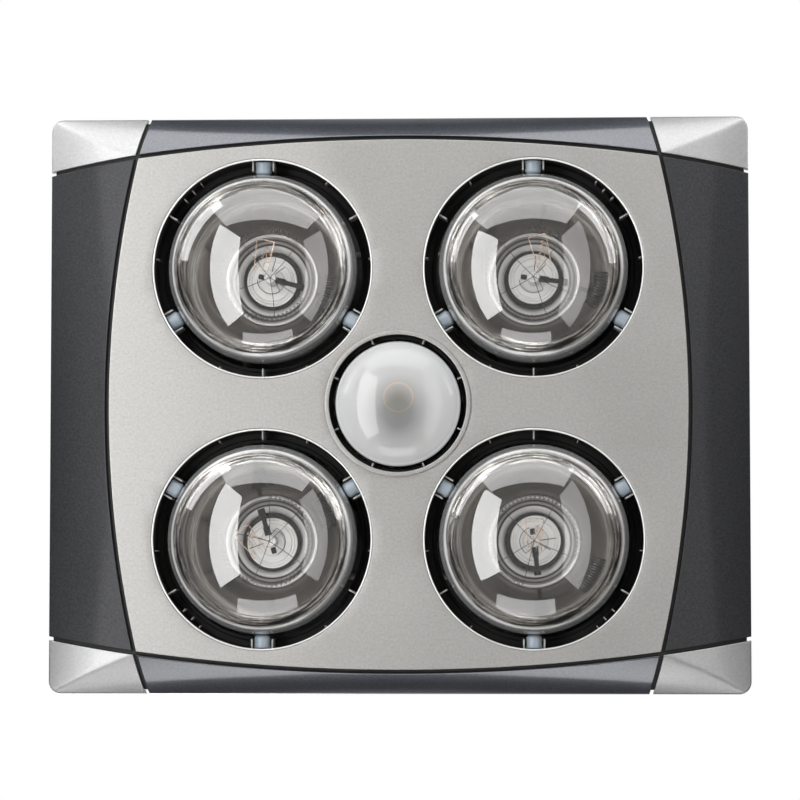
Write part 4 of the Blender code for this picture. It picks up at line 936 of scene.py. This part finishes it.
def filamentPoints(radius, height, first, last, coil, turns, perTurn=6):
    # a fine coil laid round an arc
    points = []
    count = turns * perTurn
    for step in range(count + 1):
        twist = 2 * math.pi * step / perTurn
        along = first + (last - first) * step / count
        points.append(roundAxis(radius + coil * math.cos(twist), along, height + coil * math.sin(twist)))
    return points


dome = latheForm("dome", domeLine(heatLamp, 40), 160)
bowl = latheForm("bowl", bodyLine(heatLamp, 48, 260, reflectorBeads), 144, closed=True)
for piece in (dome, bowl):
    keepReach(piece, heatLamp)
cap = latheForm("cap", capLine(heatLamp), 64)
contact = latheForm("contact", contactLine(heatLamp), 40)
grooves = (0.0086, 0.0136, 0.0156)
parts = [latheForm("disc", discLine(heatLamp["discRadius"], heatLamp["discZ"], 0.0016, grooves), 96)]
# pressed marks round the disc
markPlace = (0.0094, 0, heatLamp["discZ"] - 0.0001)
parts += boxRing("notch", 16, math.radians(8), (0.0046, 0.00035, 0.0003), markPlace, 0)
disc = joinAll(parts, "disc")
ringInner, ringOuter, ringLow = heatLamp["ringInner"], heatLamp["ringOuter"], heatLamp["ringLow"]
darkLine = [(ringInner, ringLow), (ringOuter, ringLow), (ringOuter, 0.0652), (ringOuter - 0.0022, 0.0668),
            (ringOuter - 0.0022, 0.072), (ringInner, 0.072)]
darkRing = closedRing("darkRing", darkLine, 0.0003, 2, 96)
stemLine = [
    (0, 0.0622), (0.0042, 0.0622), (0.004, 0.056), (0.0026, 0.05), (0.0022, 0.043), (0.004, 0.0405),
    (0.0042, 0.039), (0.0034, 0.038), (0.003, 0.0392), (0.0024, 0.0392), (0.002, 0.0378),
    (0.0013, 0.0376), (0.0011, 0.0386), (0, 0.0386),
]
stem = latheForm("stem", roundCorners(stemLine, 0.0003, 2), 48)

# what differs from lamp to lamp: how far it was screwed in, how its disc sits, its copper frame's place
# and lean, and where the wound end of its filament lies
lampLooks = {
    "front_left": {
        "lead": 15, "disc": (-0.0004, 0.0006), "frame": (-0.0042, -0.0143), "lean": -79, "coil": (4, 34)},
    "front_right": {
        "lead": 8, "disc": (0.0, -0.0007), "frame": (0.005, -0.0168), "lean": -104, "coil": (2, 32)},
    "back_left": {
        "lead": -107, "disc": (0.0002, 0.0009), "frame": (-0.0121, 0.0007), "lean": -127, "coil": (-40, -12)},
    "back_right": {
        "lead": 84, "disc": (0.0009, -0.0006), "frame": (0.0004, -0.004), "lean": -90, "coil": (16, 46)},
}
copperFrame = {
    "length": 0.021, "far": 0.006, "near": 0.0045, "lowZ": 0.029, "highZ": 0.036,
    "wire": 0.00032, "coilWire": 0.00017, "braceWire": 0.00022,
}
filament = {
    "reach": 0.03, "height": 0.015, "coil": 0.0017, "turns": 46, "wire": 0.00028,
    "first": 20, "last": 300, "supports": (0.0, 0.16, 0.43, 0.7, 1.0), "supportWire": 0.00022,
    "endReach": 0.045, "endHeight": -0.003, "endCoil": 0.0044, "endTurns": 13, "endWire": 0.0008,
}


def copperWires(look):
    # a frame that holds the filament's middle, with the filament's own loops inside it
    half, far, near = copperFrame["length"] / 2, copperFrame["far"], copperFrame["near"]
    low, high, thin = copperFrame["lowZ"], copperFrame["highZ"], copperFrame["coilWire"]
    bend, knee = 0.0006, (half * 0.6, far * 0.3, low)
    corners = [(-half, -near, high), (half - bend, -far, low), (half, -far + bend, low),
               (half, far - bend, low), (half - bend, far, low), (-half, near, high)]
    brace = [knee, (0, near * 0.5, (low + high) / 2), (-half, near * 0.2, high)]
    copper = joinAll([
        wireForm("wire", corners, copperFrame["wire"]),
        wireForm("wire", coilPoints((-half + 0.002, -near + 0.001, high), knee, 0.001, 9), thin),
        wireForm("wire", coilPoints(knee, (half * 0.1, far * 0.9, low), 0.0009, 5), thin),
        wireForm("wire", brace, copperFrame["braceWire"]),
    ], "copper")
    return moveMesh(copper, turned(math.radians(look["lean"]), *look["frame"]))


def darkWires(lead):
    # bent supports in front of the disc: a long arc, and two straight legs
    arc = [roundAxis(0.0098, lead + math.radians(angle), 0.052) for angle in range(40, 175, 9)]
    wires = [wireForm("wire", [roundAxis(0.003, lead, 0.043)] + arc, 0.00024)]
    for turn, length in ((-56, 0.0125), (-92, 0.015)):
        angle = lead + math.radians(turn)
        leg = [roundAxis(0.003, angle, 0.042), roundAxis(length, angle, 0.048)]
        wires.append(wireForm("wire", leg, 0.00026))
    return wires


def leadMount(lead):
    # the lead's bar from the button to the neck, with its coil, foot and clamp
    mount = joinAll([
        boxForm("bar", (0.015, 0.0032, 0.0012), (0.012, 0, 0.048)),
        boxForm("foot", (0.005, 0.005, 0.002), (0.0208, 0, 0.049), 0.0005),
        boxForm("pin", (0.0016, 0.0016, 0.01), (0.019, 0, 0.054)),
        boxForm("clamp", (0.0042, 0.0034, 0.0018), (-0.0066, 0.0004, 0.047), 0.0006, 3),
        wireForm("coil", coilPoints((0.0035, 0, 0.0474), (0.0105, 0, 0.0474), 0.0019, 7), 0.00048),
    ], "mount")
    return [moveMesh(mount, turned(lead))] + darkWires(lead)


def filamentWires(look, lead):
    # the filament's coil on thin supports that stand out from the button
    reach, height = filament["reach"], filament["height"]
    first, last = (lead + math.radians(filament[end]) for end in ("first", "last"))
    coil = filamentPoints(reach, height, first, last, filament["coil"], filament["turns"])
    strands = [wireForm("strand", coil, filament["wire"], 1)]
    for share in filament["supports"]:
        angle = first + (last - first) * share
        route = [(0, 0, 0.038), roundAxis(0.015, angle, 0.033), roundAxis(reach, angle, height)]
        strands.append(wireForm("support", route, filament["supportWire"], 1))
    # and the close wound end of it, low at one side
    begin, finish = (math.radians(angle) for angle in look["coil"])
    turns = filament["endTurns"]
    wound = [roundAxis(filament["endReach"], begin + (finish - begin) * step / turns, filament["endHeight"])
             for step in range(turns + 1)]
    for before, after in zip(wound, wound[1:]):
        coil = coilPoints(before, after, filament["endCoil"], 1, 14)
        strands.append(wireForm("wound", coil, filament["endWire"], 1))
    return strands


for place, (x, y) in lampPlaces.items():
    look, here, node = lampLooks[place], turned(0, x, y), "heat_lamp_" + place
    lead = math.radians(look["lead"])
    seated = turned(lead, x + look["disc"][0], y + look["disc"][1])
    # copied pieces: source, end of the name, place, finish and smoothing angle
    for source, ending, spot, metal, angle in (
        (dome, "_dome", here, clearGlass, 60), (bowl, "_bowl", here, finishes["lamp_glass"], 60),
        (cap, "_cap", here, capMetal, 50), (contact, "_contact", here, darkMetal, 30),
        (disc, "_disc", seated, discMetal, 40), (darkRing, "_neck_ring", here, darkMetal, 30),
        (stem, "_stem", here, discMetal, 50),
    ):
        replaced = (node,) if source in (dome, bowl, cap) else ()
        finishPiece(copyOf(source, node + ending, spot), "housing", "lamp_glass", replaced, angle, metal)
    for wires, ending, metal in (
        (leadMount(lead), "_mount", darkMetal), ([copperWires(look)], "_wire_frame", copperWire),
        (filamentWires(look, lead), "_filament", coilWire),
    ):
        finishPiece(moveMesh(joinAll(wires, node + ending), here), "housing", "lamp_glass", look=metal)
removeAll(dome, bowl, cap, contact, disc, darkRing, stem)
print("heat lamps made")

# centre light
centreLamp = {
    "rim": -0.018, "radius": 0.0414, "dome": 0.02, "body": 0.052, "neckRadius": 0.016, "neck": 0.012,
    "belly": 3.0, "power": 1.15, "wall": 0.001, "domeWall": 0.0012, "taper": 0.006,
    "capRadius": 0.0132, "capLength": 0.0245, "threads": 6,
}
centreDome = latheForm("centre_lamp_dome", domeLine(centreLamp, 32), 160)
finishPiece(centreDome, "housing", "frosted_glass", ("centre_lamp",), 60)
centreBowl = latheForm("centre_lamp_bowl", bodyLine(centreLamp, 40, 40), 128, closed=True)
keepReach(centreBowl, centreLamp)
finishPiece(centreBowl, "housing", "frosted_glass", ("centre_lamp",), 60, finishes["lamp_glass"])
centreCap = latheForm("centre_lamp_cap", capLine(centreLamp), 64)
finishPiece(centreCap, "housing", "frosted_glass", ("centre_lamp",), 50, capMetal)
centreContact = latheForm("centre_lamp_contact", contactLine(centreLamp), 40)
finishPiece(centreContact, "housing", "frosted_glass", look=darkMetal)
print("centre light made")

# lamp holders: glazed rim and stepped foot
holder = {
    "bore": 0.0138, "radius": 0.0203, "foot": 0.0243, "footHeight": 0.008, "base": 0.012, "contact": 0.0015,
}


def holderTop(look):
    return capTop(look)[1] + holder["contact"] + fit + holder["base"]


def holderForm(name, look):
    top, mouth = holderTop(look), capTop(look)[0] + 0.003
    seat, step = top - holder["base"], top - holder["footHeight"]
    bore, rim, foot = holder["bore"], holder["radius"], holder["foot"]
    waist = rim - 0.0012
    line = [
        (0, seat), (bore, seat), (bore, mouth + 0.0012), (bore + 0.001, mouth), (rim - 0.001, mouth),
        (rim, mouth + 0.0012), (rim, mouth + 0.006), (waist, mouth + 0.0066), (waist, top - 0.012),
        (rim, top - 0.011), (rim, step), (foot, step), (foot, top), (0, top),
    ]
    return latheForm(name, roundCorners(line, 0.0006, 3), 80)


heatHolder = holderForm("heatHolder", heatLamp)
for place, spot in lampPlaces.items():
    name = "lamp_holder_" + place
    finishPiece(copyOf(heatHolder, name + "_body", turned(0, *spot)), "housing", "ceramic", (name,), 40)
removeAll(heatHolder)
centreHolder = holderForm("centre_lamp_holder_body", centreLamp)
finishPiece(centreHolder, "housing", "ceramic", ("centre_lamp_holder",), 40)
print("lamp holders made")

# fan: ring with a flange and a swage, and the motor's can
heatTop = holderTop(heatLamp)
sheet = 0.001  # thickness of the roof
fan = {
    "ringHeight": 0.046, "radius": 0.076, "wall": 0.0012, "flange": 0.012,
    "motorRadius": 0.036, "motorHeight": 0.042, "boss": 0.0046, "cross": 0.0015,
    "louvre": (0.01, 0.0022, 0.001), "louvreReach": 0.024,
}
ringLow = heatTop + fit + sheet + fit
ringTop = ringLow + fan["ringHeight"]
ringOuter, flangeTop = fan["radius"] + fan["wall"], ringLow + fan["wall"]
flangeOuter = ringOuter + fan["flange"]
ringLine = [
    (fan["radius"], ringLow), (flangeOuter, ringLow), (flangeOuter, flangeTop), (ringOuter, flangeTop),
    (ringOuter, ringLow + 0.02), (ringOuter - 0.0006, ringLow + 0.0215), (ringOuter, ringLow + 0.023),
    (ringOuter, ringTop), (fan["radius"], ringTop),
]
finishPiece(closedRing("fan_ring_sheet", ringLine, 0.0005), "housing", "zinc", ("fan_ring",), 40)

motorTop = heatTop - fan["cross"] - fit
motorLow = motorTop - fan["motorHeight"]
canRadius, bossFloor = fan["motorRadius"], motorTop - 0.0118
canWaist, canShoulder = canRadius - 0.0009, canRadius - 0.006
motorLine = [
    (0, motorLow), (0.01, motorLow), (0.0112, motorLow + 0.0018), (0.015, motorLow + 0.0018),
    (canShoulder, motorLow + 0.0004), (canRadius, motorLow + 0.006), (canRadius, motorLow + 0.015),
    (canWaist, motorLow + 0.0158), (canWaist, motorLow + 0.026), (canRadius, motorLow + 0.0268),
    (canRadius, motorTop - 0.006), (canShoulder, motorTop), (fan["boss"], motorTop), (fan["boss"], bossFloor),
    (0, bossFloor),
]
parts = [latheForm("motorCan", roundCorners(motorLine, 0.0012, 3), 96)]
# cooling louvres round the can's lower shoulder
parts += boxRing("louvre", 16, 0, fan["louvre"], (fan["louvreReach"], 0, motorLow + 0.0016), 0.0004)
finishPiece(joinAll(parts, "fan_motor_can"), "housing", "motor_enamel", ("fan_motor",), 40)
print("fan made")

# duct collar: socket, step, ribbed spigot with a stop for the flaps
collar = {
    "socketOuter": 0.0795, "socketInner": 0.0775, "socketDeep": 0.01, "bore": 0.073, "outer": 0.075,
    "height": 0.052, "rib": 0.0007, "ribHalf": 0.0012, "ribs": (0.0242, 0.0342),
    "gusset": (0.004, 0.0014, 0.006), "gussetPlace": (0.0768, 0, 0.0045),
    "hook": (0.0016, 0.01, 0.0085), "hookPlace": (0.08, 0, -0.005),
}
collarStep = ringTop + fit
spigotTop = collarStep + collar["height"]
bore, outer, socketLow = collar["bore"], collar["outer"], collarStep - collar["socketDeep"]
collarLine = [
    (collar["socketInner"], socketLow), (collar["socketOuter"], socketLow),
    (collar["socketOuter"], collarStep + 0.002), (outer, collarStep + 0.004),
]
for height in collar["ribs"]:
    middle = collarStep + height
    collarLine += [(outer, middle - collar["ribHalf"]), (outer + collar["rib"], middle),
                   (outer, middle + collar["ribHalf"])]
collarLine += [(outer, spigotTop), (bore, spigotTop), (bore, collarStep + 0.0015),
               (collar["socketInner"], collarStep)]
parts = [closedRing("duct_collar_shell", collarLine, 0.0007)]
stopTop = collarStep + 0.01 - 0.0009
stopIn, stopOut, stopLow = bore - 0.0018, bore + 0.0005, stopTop - 0.0015
stopLine = [(stopOut, stopTop), (stopIn, stopTop), (stopIn, stopLow), (stopOut, stopLow)]
parts.append(latheForm("stop", stopLine, 128, closed=True))
# gussets between the socket's shoulder and the spigot, and snap hooks on the fan ring
for name, count, bevel in (("gusset", 12, 0.0003), ("hook", 4, 0.0004)):
    reach, across, height = collar[name + "Place"]
    parts += boxRing(name, count, math.pi / count, collar[name], (reach, across, collarStep + height), bevel)
finishPiece(joinAll(parts, "duct_collar_shell"), "housing", "grey_plastic", ("duct_collar",), 40)
print("duct collar made")

# cable gland with a round ribbed cap
gland = {
    "bore": 0.0045, "stub": 0.0078, "cap": 0.009, "nut": 0.0115, "nutBore": 0.0075, "nutEnd": 0.0062,
    "stubLow": -0.005, "capLow": 0.0063, "capHigh": 0.013, "top": 0.0163, "rib": (0.0009, 0.0011, 0.006),
}
glandLow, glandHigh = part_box("cable_gland")
capSide = gland["cap"] - 0.0006
glandLine = [
    (gland["bore"], gland["stubLow"]), (gland["stub"], gland["stubLow"]), (gland["stub"], gland["capLow"]),
    (capSide, gland["capLow"]), (capSide, gland["capHigh"]), (gland["bore"] + 0.002, gland["top"]),
    (gland["bore"], gland["top"]),
]
parts = [closedRing("cable_gland_body", glandLine, 0.0005, steps=64)]
nutLine = [(gland["nutBore"], fit), (gland["nut"], fit), (gland["nut"], gland["nutEnd"]),
           (gland["nutBore"], gland["nutEnd"])]
nut = latheForm("nut", nutLine, 6, closed=True)
bevel = nut.modifiers.new("bevel", "BEVEL")
bevel.width, bevel.segments = 0.0006, 3
applyAll(nut)
parts.append(nut)
parts += boxRing("rib", 24, 0, gland["rib"], (gland["cap"] - 0.0003, 0, 0.0096), 0.0002)
glandPlace = (glandLow[0] - gland["stubLow"], 0, (glandLow[2] + glandHigh[2]) / 2)
glandPiece = joinAll(parts, "cable_gland_body")
moveMesh(glandPiece, Matrix.Translation(glandPlace) @ Matrix.Rotation(math.pi / 2, 4, "Y"))
finishPiece(glandPiece, "housing", "grey_plastic", ("cable_gland",), 40)
print("cable gland made")

# screws, rivets, pressed beads and folds on the housing
screwLine = [(0, 0.0021), (0.0016, 0.002), (0.0029, 0.0015), (0.0036, 0.0006), (0.0037, 0), (0, 0)]
screw = latheForm("screw", screwLine, 32)
for angle in (0, 90):
    slotTool = boxForm("slotTool", (0.0042, 0.0008, 0.002), (0, 0, 0.0022), 0)
    cutWith(screw, moveMesh(slotTool, turned(math.radians(angle))))
rivet = latheForm("rivet", [(0, 0.0012), (0.001, 0.0011), (0.0019, 0.0006), (0.0022, 0), (0, 0)], 24)
knockout = latheForm("knockout", [(0, 0.0006), (0.0092, 0.0006), (0.0098, 0), (0, 0)], 40)

wallX, wallY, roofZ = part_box("housing_roof")[1]
boxLow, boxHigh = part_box("terminal_box")
lidLow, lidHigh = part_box("terminal_lid")
boxX, boxZ = ((boxLow[axis] + boxHigh[axis]) / 2 for axis in (0, 2))


def fixAt(source, place, direction=(0, 0, 1), spin=0.0):
    facing = Vector(direction).to_track_quat("Z", "Y").to_matrix().to_4x4()
    matrix = Matrix.Translation(place) @ facing @ Matrix.Rotation(spin, 4, "Z")
    return copyOf(source, source.name + "Copy", matrix)


fastening = {
    "ringReach": fan["radius"] + 0.0078, "inset": 0.01, "sideY": 0.06, "holderReach": 0.0165,
    "lid": (0.028, 0.038), "tabInset": 0.0062, "rivetHeights": (0.02, 0.052, 0.084, 0.116),
    "lapDrop": 0.0055, "lapRivet": 0.024, "knockouts": (-0.026, 0.026),
}
roofScrews = []
for number in range(6):
    place = roundAxis(fastening["ringReach"], 2 * math.pi * (number + 0.5) / 6, flangeTop)
    roofScrews.append(fixAt(screw, place, spin=number))
screwX, screwY = wallX - fastening["inset"], wallY - fastening["inset"]
for sideX, sideY in quarters:
    roofScrews.append(fixAt(screw, (sideX * screwX, sideY * screwY, roofZ), spin=sideX + sideY))
for side in sides:
    roofScrews.append(fixAt(screw, (side * screwX, fastening["sideY"], roofZ), spin=0.4 * side))
    for x, y in lampPlaces.values():
        roofScrews.append(fixAt(screw, (x + side * fastening["holderReach"], y, roofZ), spin=side + x))
finishPiece(joinAll(roofScrews, "roof_screws"), "housing", "steel", angle=35)

lidScrews = []
lidX, lidY = (lidLow[0] + lidHigh[0]) / 2, (lidLow[1] + lidHigh[1]) / 2
for sideX, sideY in quarters:
    place = (lidX + sideX * fastening["lid"][0], lidY + sideY * fastening["lid"][1], lidHigh[2])
    lidScrews.append(fixAt(screw, place, spin=0.7 * sideX + sideY))
finishPiece(joinAll(lidScrews, "lid_screws"), "housing", "steel", angle=35, look=brass)

# corner flanges of the long walls, riveted over the short ones; long pressed beads that stiffen the walls
# and the roof; and the roof's turned hems
tab = {"size": (0.012, 0.0008, 0.125), "z": 0.068}
bead = {"sizeX": (0.3, 0.0022, 0.007), "sizeY": (0.0022, 0.25, 0.007), "heights": (0.026, 0.044)}
roofBead = {"size": (0.007, 0.1, 0.002), "place": (0.15, 0.1)}
hem = {"wall": 0.0014, "tall": 0.008}
hemZ = roofZ - hem["tall"] / 2
folds = []
for sideX, sideY in quarters:
    tabX = sideX * (wallX - fastening["tabInset"])
    folds.append(boxForm("tab", tab["size"], (tabX, sideY * (wallY + 0.0004), tab["z"])))
    for height in fastening["rivetHeights"]:
        folds.append(fixAt(rivet, (tabX, sideY * (wallY + 0.0008), height), (0, sideY, 0)))
    beadX, beadY = roofBead["place"]
    folds.append(boxForm("bead", roofBead["size"], (sideX * beadX, sideY * beadY, roofZ), 0.0009, 4))
for side in sides:
    for low in bead["heights"]:
        folds.append(boxForm("bead", bead["sizeX"], (0, side * (wallY + 0.0001), low), 0.001, 4))
        folds.append(boxForm("bead", bead["sizeY"], (side * (wallX + 0.0001), 0, low), 0.001, 4))
    outward = side * (wallX + hem["wall"] / 2)
    folds.append(boxForm("hem", (hem["wall"], 2 * wallY, hem["tall"]), (outward, 0, hemZ), 0.0005))
    outward = side * (wallY + hem["wall"] / 2)
    folds.append(boxForm("hem", (2 * wallX, hem["wall"], hem["tall"]), (0, outward, hemZ), 0.0005))
finishPiece(joinAll(folds, "housing_folds"), "housing", "zinc", angle=35)

boxDetails = []
lapZ = boxHigh[2] - fastening["lapDrop"]
for sideY in sides:
    boxDetails.append(boxForm("lap", (0.066, 0.0008, 0.01), (boxX, sideY * (boxHigh[1] + 0.0004), lapZ)))
    for sideX in sides:
        place = (boxX + sideX * fastening["lapRivet"], sideY * (boxHigh[1] + 0.0008), lapZ)
        boxDetails.append(fixAt(rivet, place, (0, sideY, 0)))
for across in fastening["knockouts"]:
    boxDetails.append(fixAt(knockout, (boxHigh[0], across, boxZ), (1, 0, 0)))
finishPiece(joinAll(boxDetails, "terminal_box_folds"), "housing", "zinc", angle=35)
removeAll(screw, rivet, knockout)
print("housing details made")

# sleeved leads: down out of the terminal box and round past the four holders, with cable ties
loomLow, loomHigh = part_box("wiring_loom")
loom = {"radius": 0.0025, "bend": 0.015, "entryY": 0.0225}
tieLooks = {"inner": 0.0022, "outer": 0.003, "half": 0.0012, "spots": (-0.045, 0.0, 0.045)}


def roundRoute(points, radius, steps):
    # each corner of a route made into an arc
    route = [points[0]]
    for before, here, after in zip(points, points[1:], points[2:]):
        towards, away = (before - here).normalized(), (after - here).normalized()
        half = towards.angle(away) / 2
        middle = here + (towards + away).normalized() * (radius / math.sin(half))
        start = (here + towards * radius / math.tan(half) - middle).normalized()
        finish = (here + away * radius / math.tan(half) - middle).normalized()
        route += [middle + start.slerp(finish, step / steps) * radius for step in range(steps + 1)]
    return route + [points[-1]]


loomReach, loomZ = -loomLow[0] - loom["radius"], loomLow[2] + loom["radius"]
corners = [(boxX, loom["entryY"]), (boxX, loomReach), (-loomReach, loomReach), (-loomReach, -loomReach),
           (lampOffset, -loomReach)]
corners = [Vector((boxX, loom["entryY"], loomHigh[2]))] + [Vector((x, y, loomZ)) for x, y in corners]
sleeve = wireForm("wiring_loom_sleeve", roundRoute(corners, loom["bend"], 14), loom["radius"] - 0.0001, 7)
finishPiece(sleeve, "housing", "sleeve", ("wiring_loom",), 50)
tieInner, tieOuter, tieHalf = tieLooks["inner"], tieLooks["outer"], tieLooks["half"]
tieLine = [(tieInner, -tieHalf), (tieOuter, -tieHalf), (tieOuter, tieHalf), (tieInner, tieHalf)]
tie = closedRing("tie", tieLine, 0.0003, 2, 32)
spots = [((x, side * loomReach), (1, 0, 0)) for x in tieLooks["spots"] for side in sides]
spots += [((-loomReach, y), (0, 1, 0)) for y in tieLooks["spots"]]
ties = []
for (x, y), along in spots:
    ties.append(fixAt(tie, (x, y, loomZ), along))
    ties.append(boxForm("head", (0.0032, 0.0032, 0.003), (x, y, loomZ - tieOuter), 0.0005))
finishPiece(joinAll(ties, "wiring_loom_ties"), "housing", "sleeve", angle=40, look=finishes["black"])
removeAll(tie)

# over-temperature switch: flanged can, crimped rim, two blades
cutLow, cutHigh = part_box("thermal_cutout")
cutX, cutY = (cutLow[0] + cutHigh[0]) / 2, (cutLow[1] + cutHigh[1]) / 2
cutRadius, cutTop, cutFloor = (cutHigh[0] - cutLow[0]) / 2, cutHigh[2], cutLow[2]
canLine = [
    (0, cutTop), (cutRadius, cutTop), (cutRadius, cutTop - 0.0014), (cutRadius - 0.0008, cutTop - 0.002),
    (cutRadius - 0.0012, cutTop - 0.0036), (cutRadius - 0.0016, cutFloor + 0.001),
    (cutRadius - 0.003, cutFloor + 0.0004), (0, cutFloor + 0.0004),
]
parts = [latheForm("can", roundCorners(canLine, 0.0003, 3), 48, (cutX, cutY))]
for side in sides:
    bladePlace = (cutX + side * 0.0026, cutY, cutFloor + 0.0005)
    parts.append(boxForm("blade", (0.0008, 0.003, 0.0008), bladePlace, 0.0001))
finishPiece(joinAll(parts, "thermal_cutout_can"), "housing", "steel", ("thermal_cutout",), 35)
print("leads made")

# finishes on the CAD nodes that stay
slotOf = {row["node"]: row["material_slot"] for row in frame["record"]["subparts"]}
for name, node in frame["nodes"].items():
    if node.material_slots:
        node.material_slots[0].material = finishes[slotOf[name]]


def turnTo(thing, back, upright):
    # turn a camera or a light, which look along their own -Z
    right = upright.cross(back).normalized()
    thing.rotation_euler = Matrix((right, back.cross(right), back)).transposed().to_euler()


# camera, seen from the room with the photo's top at -Y
cameraView = {"place": (0.093, 0.132, -2.2), "target": (0.0016, -0.0021, -0.024), "lens": 148.8}
bpy.ops.object.camera_add(location=cameraView["place"])
camera = bpy.context.object
turnTo(camera, (Vector(cameraView["place"]) - Vector(cameraView["target"])).normalized(), Vector((0, -1, 0)))
camera.data.lens = cameraView["lens"]
camera.data.sensor_width = 36
camera.data.clip_end = 120
bpy.context.scene.camera = camera

# light: soft boxes round the room, two above the ceiling plane, a pale floor
lights = {
    "left": {"place": (-0.5175, 0.0, -0.825), "aim": (0.979, 0, 0.205), "size": (0.562, 1.2), "level": 8.8},
    "right": {"place": (0.48, 0.0, -0.685), "aim": (-0.997, 0, 0.075), "size": (0.53, 1.1), "level": 2.8},
    "top": {"place": (-0.06, -0.85, -0.55), "aim": (0, 1, 0), "size": (1.36, 0.8), "level": 4.4},
    "bottom": {"place": (-0.05, 1.00, -0.52), "aim": (0.0, -0.93, 0.36), "size": (0.86, 0.44), "level": 4.35},
    "leftEdge": {"place": (-0.66, -0.45, -0.16), "aim": (0.78, 0.62, 0), "size": (0.6, 0.22), "level": 7.0},
    "rightEdge": {"place": (0.66, -0.42, -0.16), "aim": (-0.78, 0.62, 0), "size": (0.62, 0.2), "level": 6.2},
    "roofLeft": {"place": (-0.9, 1.0, 1.5), "aim": (0.45, -0.45, -0.77), "size": (1.4, 1.4), "level": 5.0},
    "roofRight": {"place": (1.1, -0.9, 1.3), "aim": (-0.55, 0.42, -0.72), "size": (1.4, 1.4), "level": 4.0},
}
for name, look in lights.items():
    bpy.ops.object.light_add(type="AREA", location=look["place"])
    lamp = bpy.context.object
    lamp.name = name + "Light"
    lamp.data.shape = "RECTANGLE"
    wide, tall = look["size"]
    lamp.data.size, lamp.data.size_y = wide, tall
    lamp.data.energy = look["level"] * math.pi * wide * tall
    aim = Vector(look["aim"]).normalized()
    turnTo(lamp, -aim, Vector((0, 1, 0)) if abs(aim.y) < 0.6 else Vector((0, 0, 1)))
    lamp.visible_camera = False

# the room: white behind the part, brighter above the ceiling plane than below it
room = {"low": (0.11, 0.1, 0.09, 1), "high": (0.8, 0.79, 0.77, 1), "from": 0.24, "to": 0.75}
world = bpy.data.worlds.new("paleRoom")
bpy.context.scene.world = world
world.use_nodes = True
tree = world.node_tree
roomPlace = tree.nodes.new("ShaderNodeTexCoord")
split = addNode(tree, "SeparateXYZ", {}, {"Vector": roomPlace.outputs["Generated"]})
roomLight = tree.nodes.new("ShaderNodeMix")
roomLight.data_type = "RGBA"
roomLight.inputs["A"].default_value = room["low"]
roomLight.inputs["B"].default_value = room["high"]
feed(tree, roomLight, {"Factor": addRange(tree, split.outputs["Z"], 0.0, 1.0, room["from"], room["to"])})
dim = tree.nodes["Background"]
feed(tree, dim, {"Color": roomLight.outputs["Result"]})
seen = addNode(tree, "Background", {"Color": (1, 1, 1, 1)}, {})
path = tree.nodes.new("ShaderNodeLightPath")
mix = addNode(tree, "MixShader", {}, {
    "Fac": path.outputs["Is Camera Ray"], 1: dim.outputs["Background"], 2: seen.outputs["Background"]})
feed(tree, tree.nodes["World Output"], {"Surface": mix.outputs["Shader"]})

deselectAll()
bpy.ops.mesh.primitive_plane_add(size=90, location=(0, 0, -2.6))
floor = bpy.context.object
floor.name = "paleFloor"
floorLook = {"Roughness": 0.8, "Emission Color": (1.0, 0.99, 0.98, 1), "Emission Strength": 0.72}
floorPaint, tree, shader, place = startMaterial("paleFloorPaint", floorLook)
mottle = addRamp(tree, addNoise(tree, place, 3, 3.0), between((0.8, 0.8, 0.8), (0.84, 0.84, 0.84)))
feed(tree, shader, {"Base Color": mottle})
floor.data.materials.append(floorPaint)
floor.visible_glossy = False
floor.visible_diffuse = False

bpy.context.scene.view_settings.view_transform = "Standard"
bpy.context.scene.view_settings.look = "None"
deselectAll()
print("scene ready")
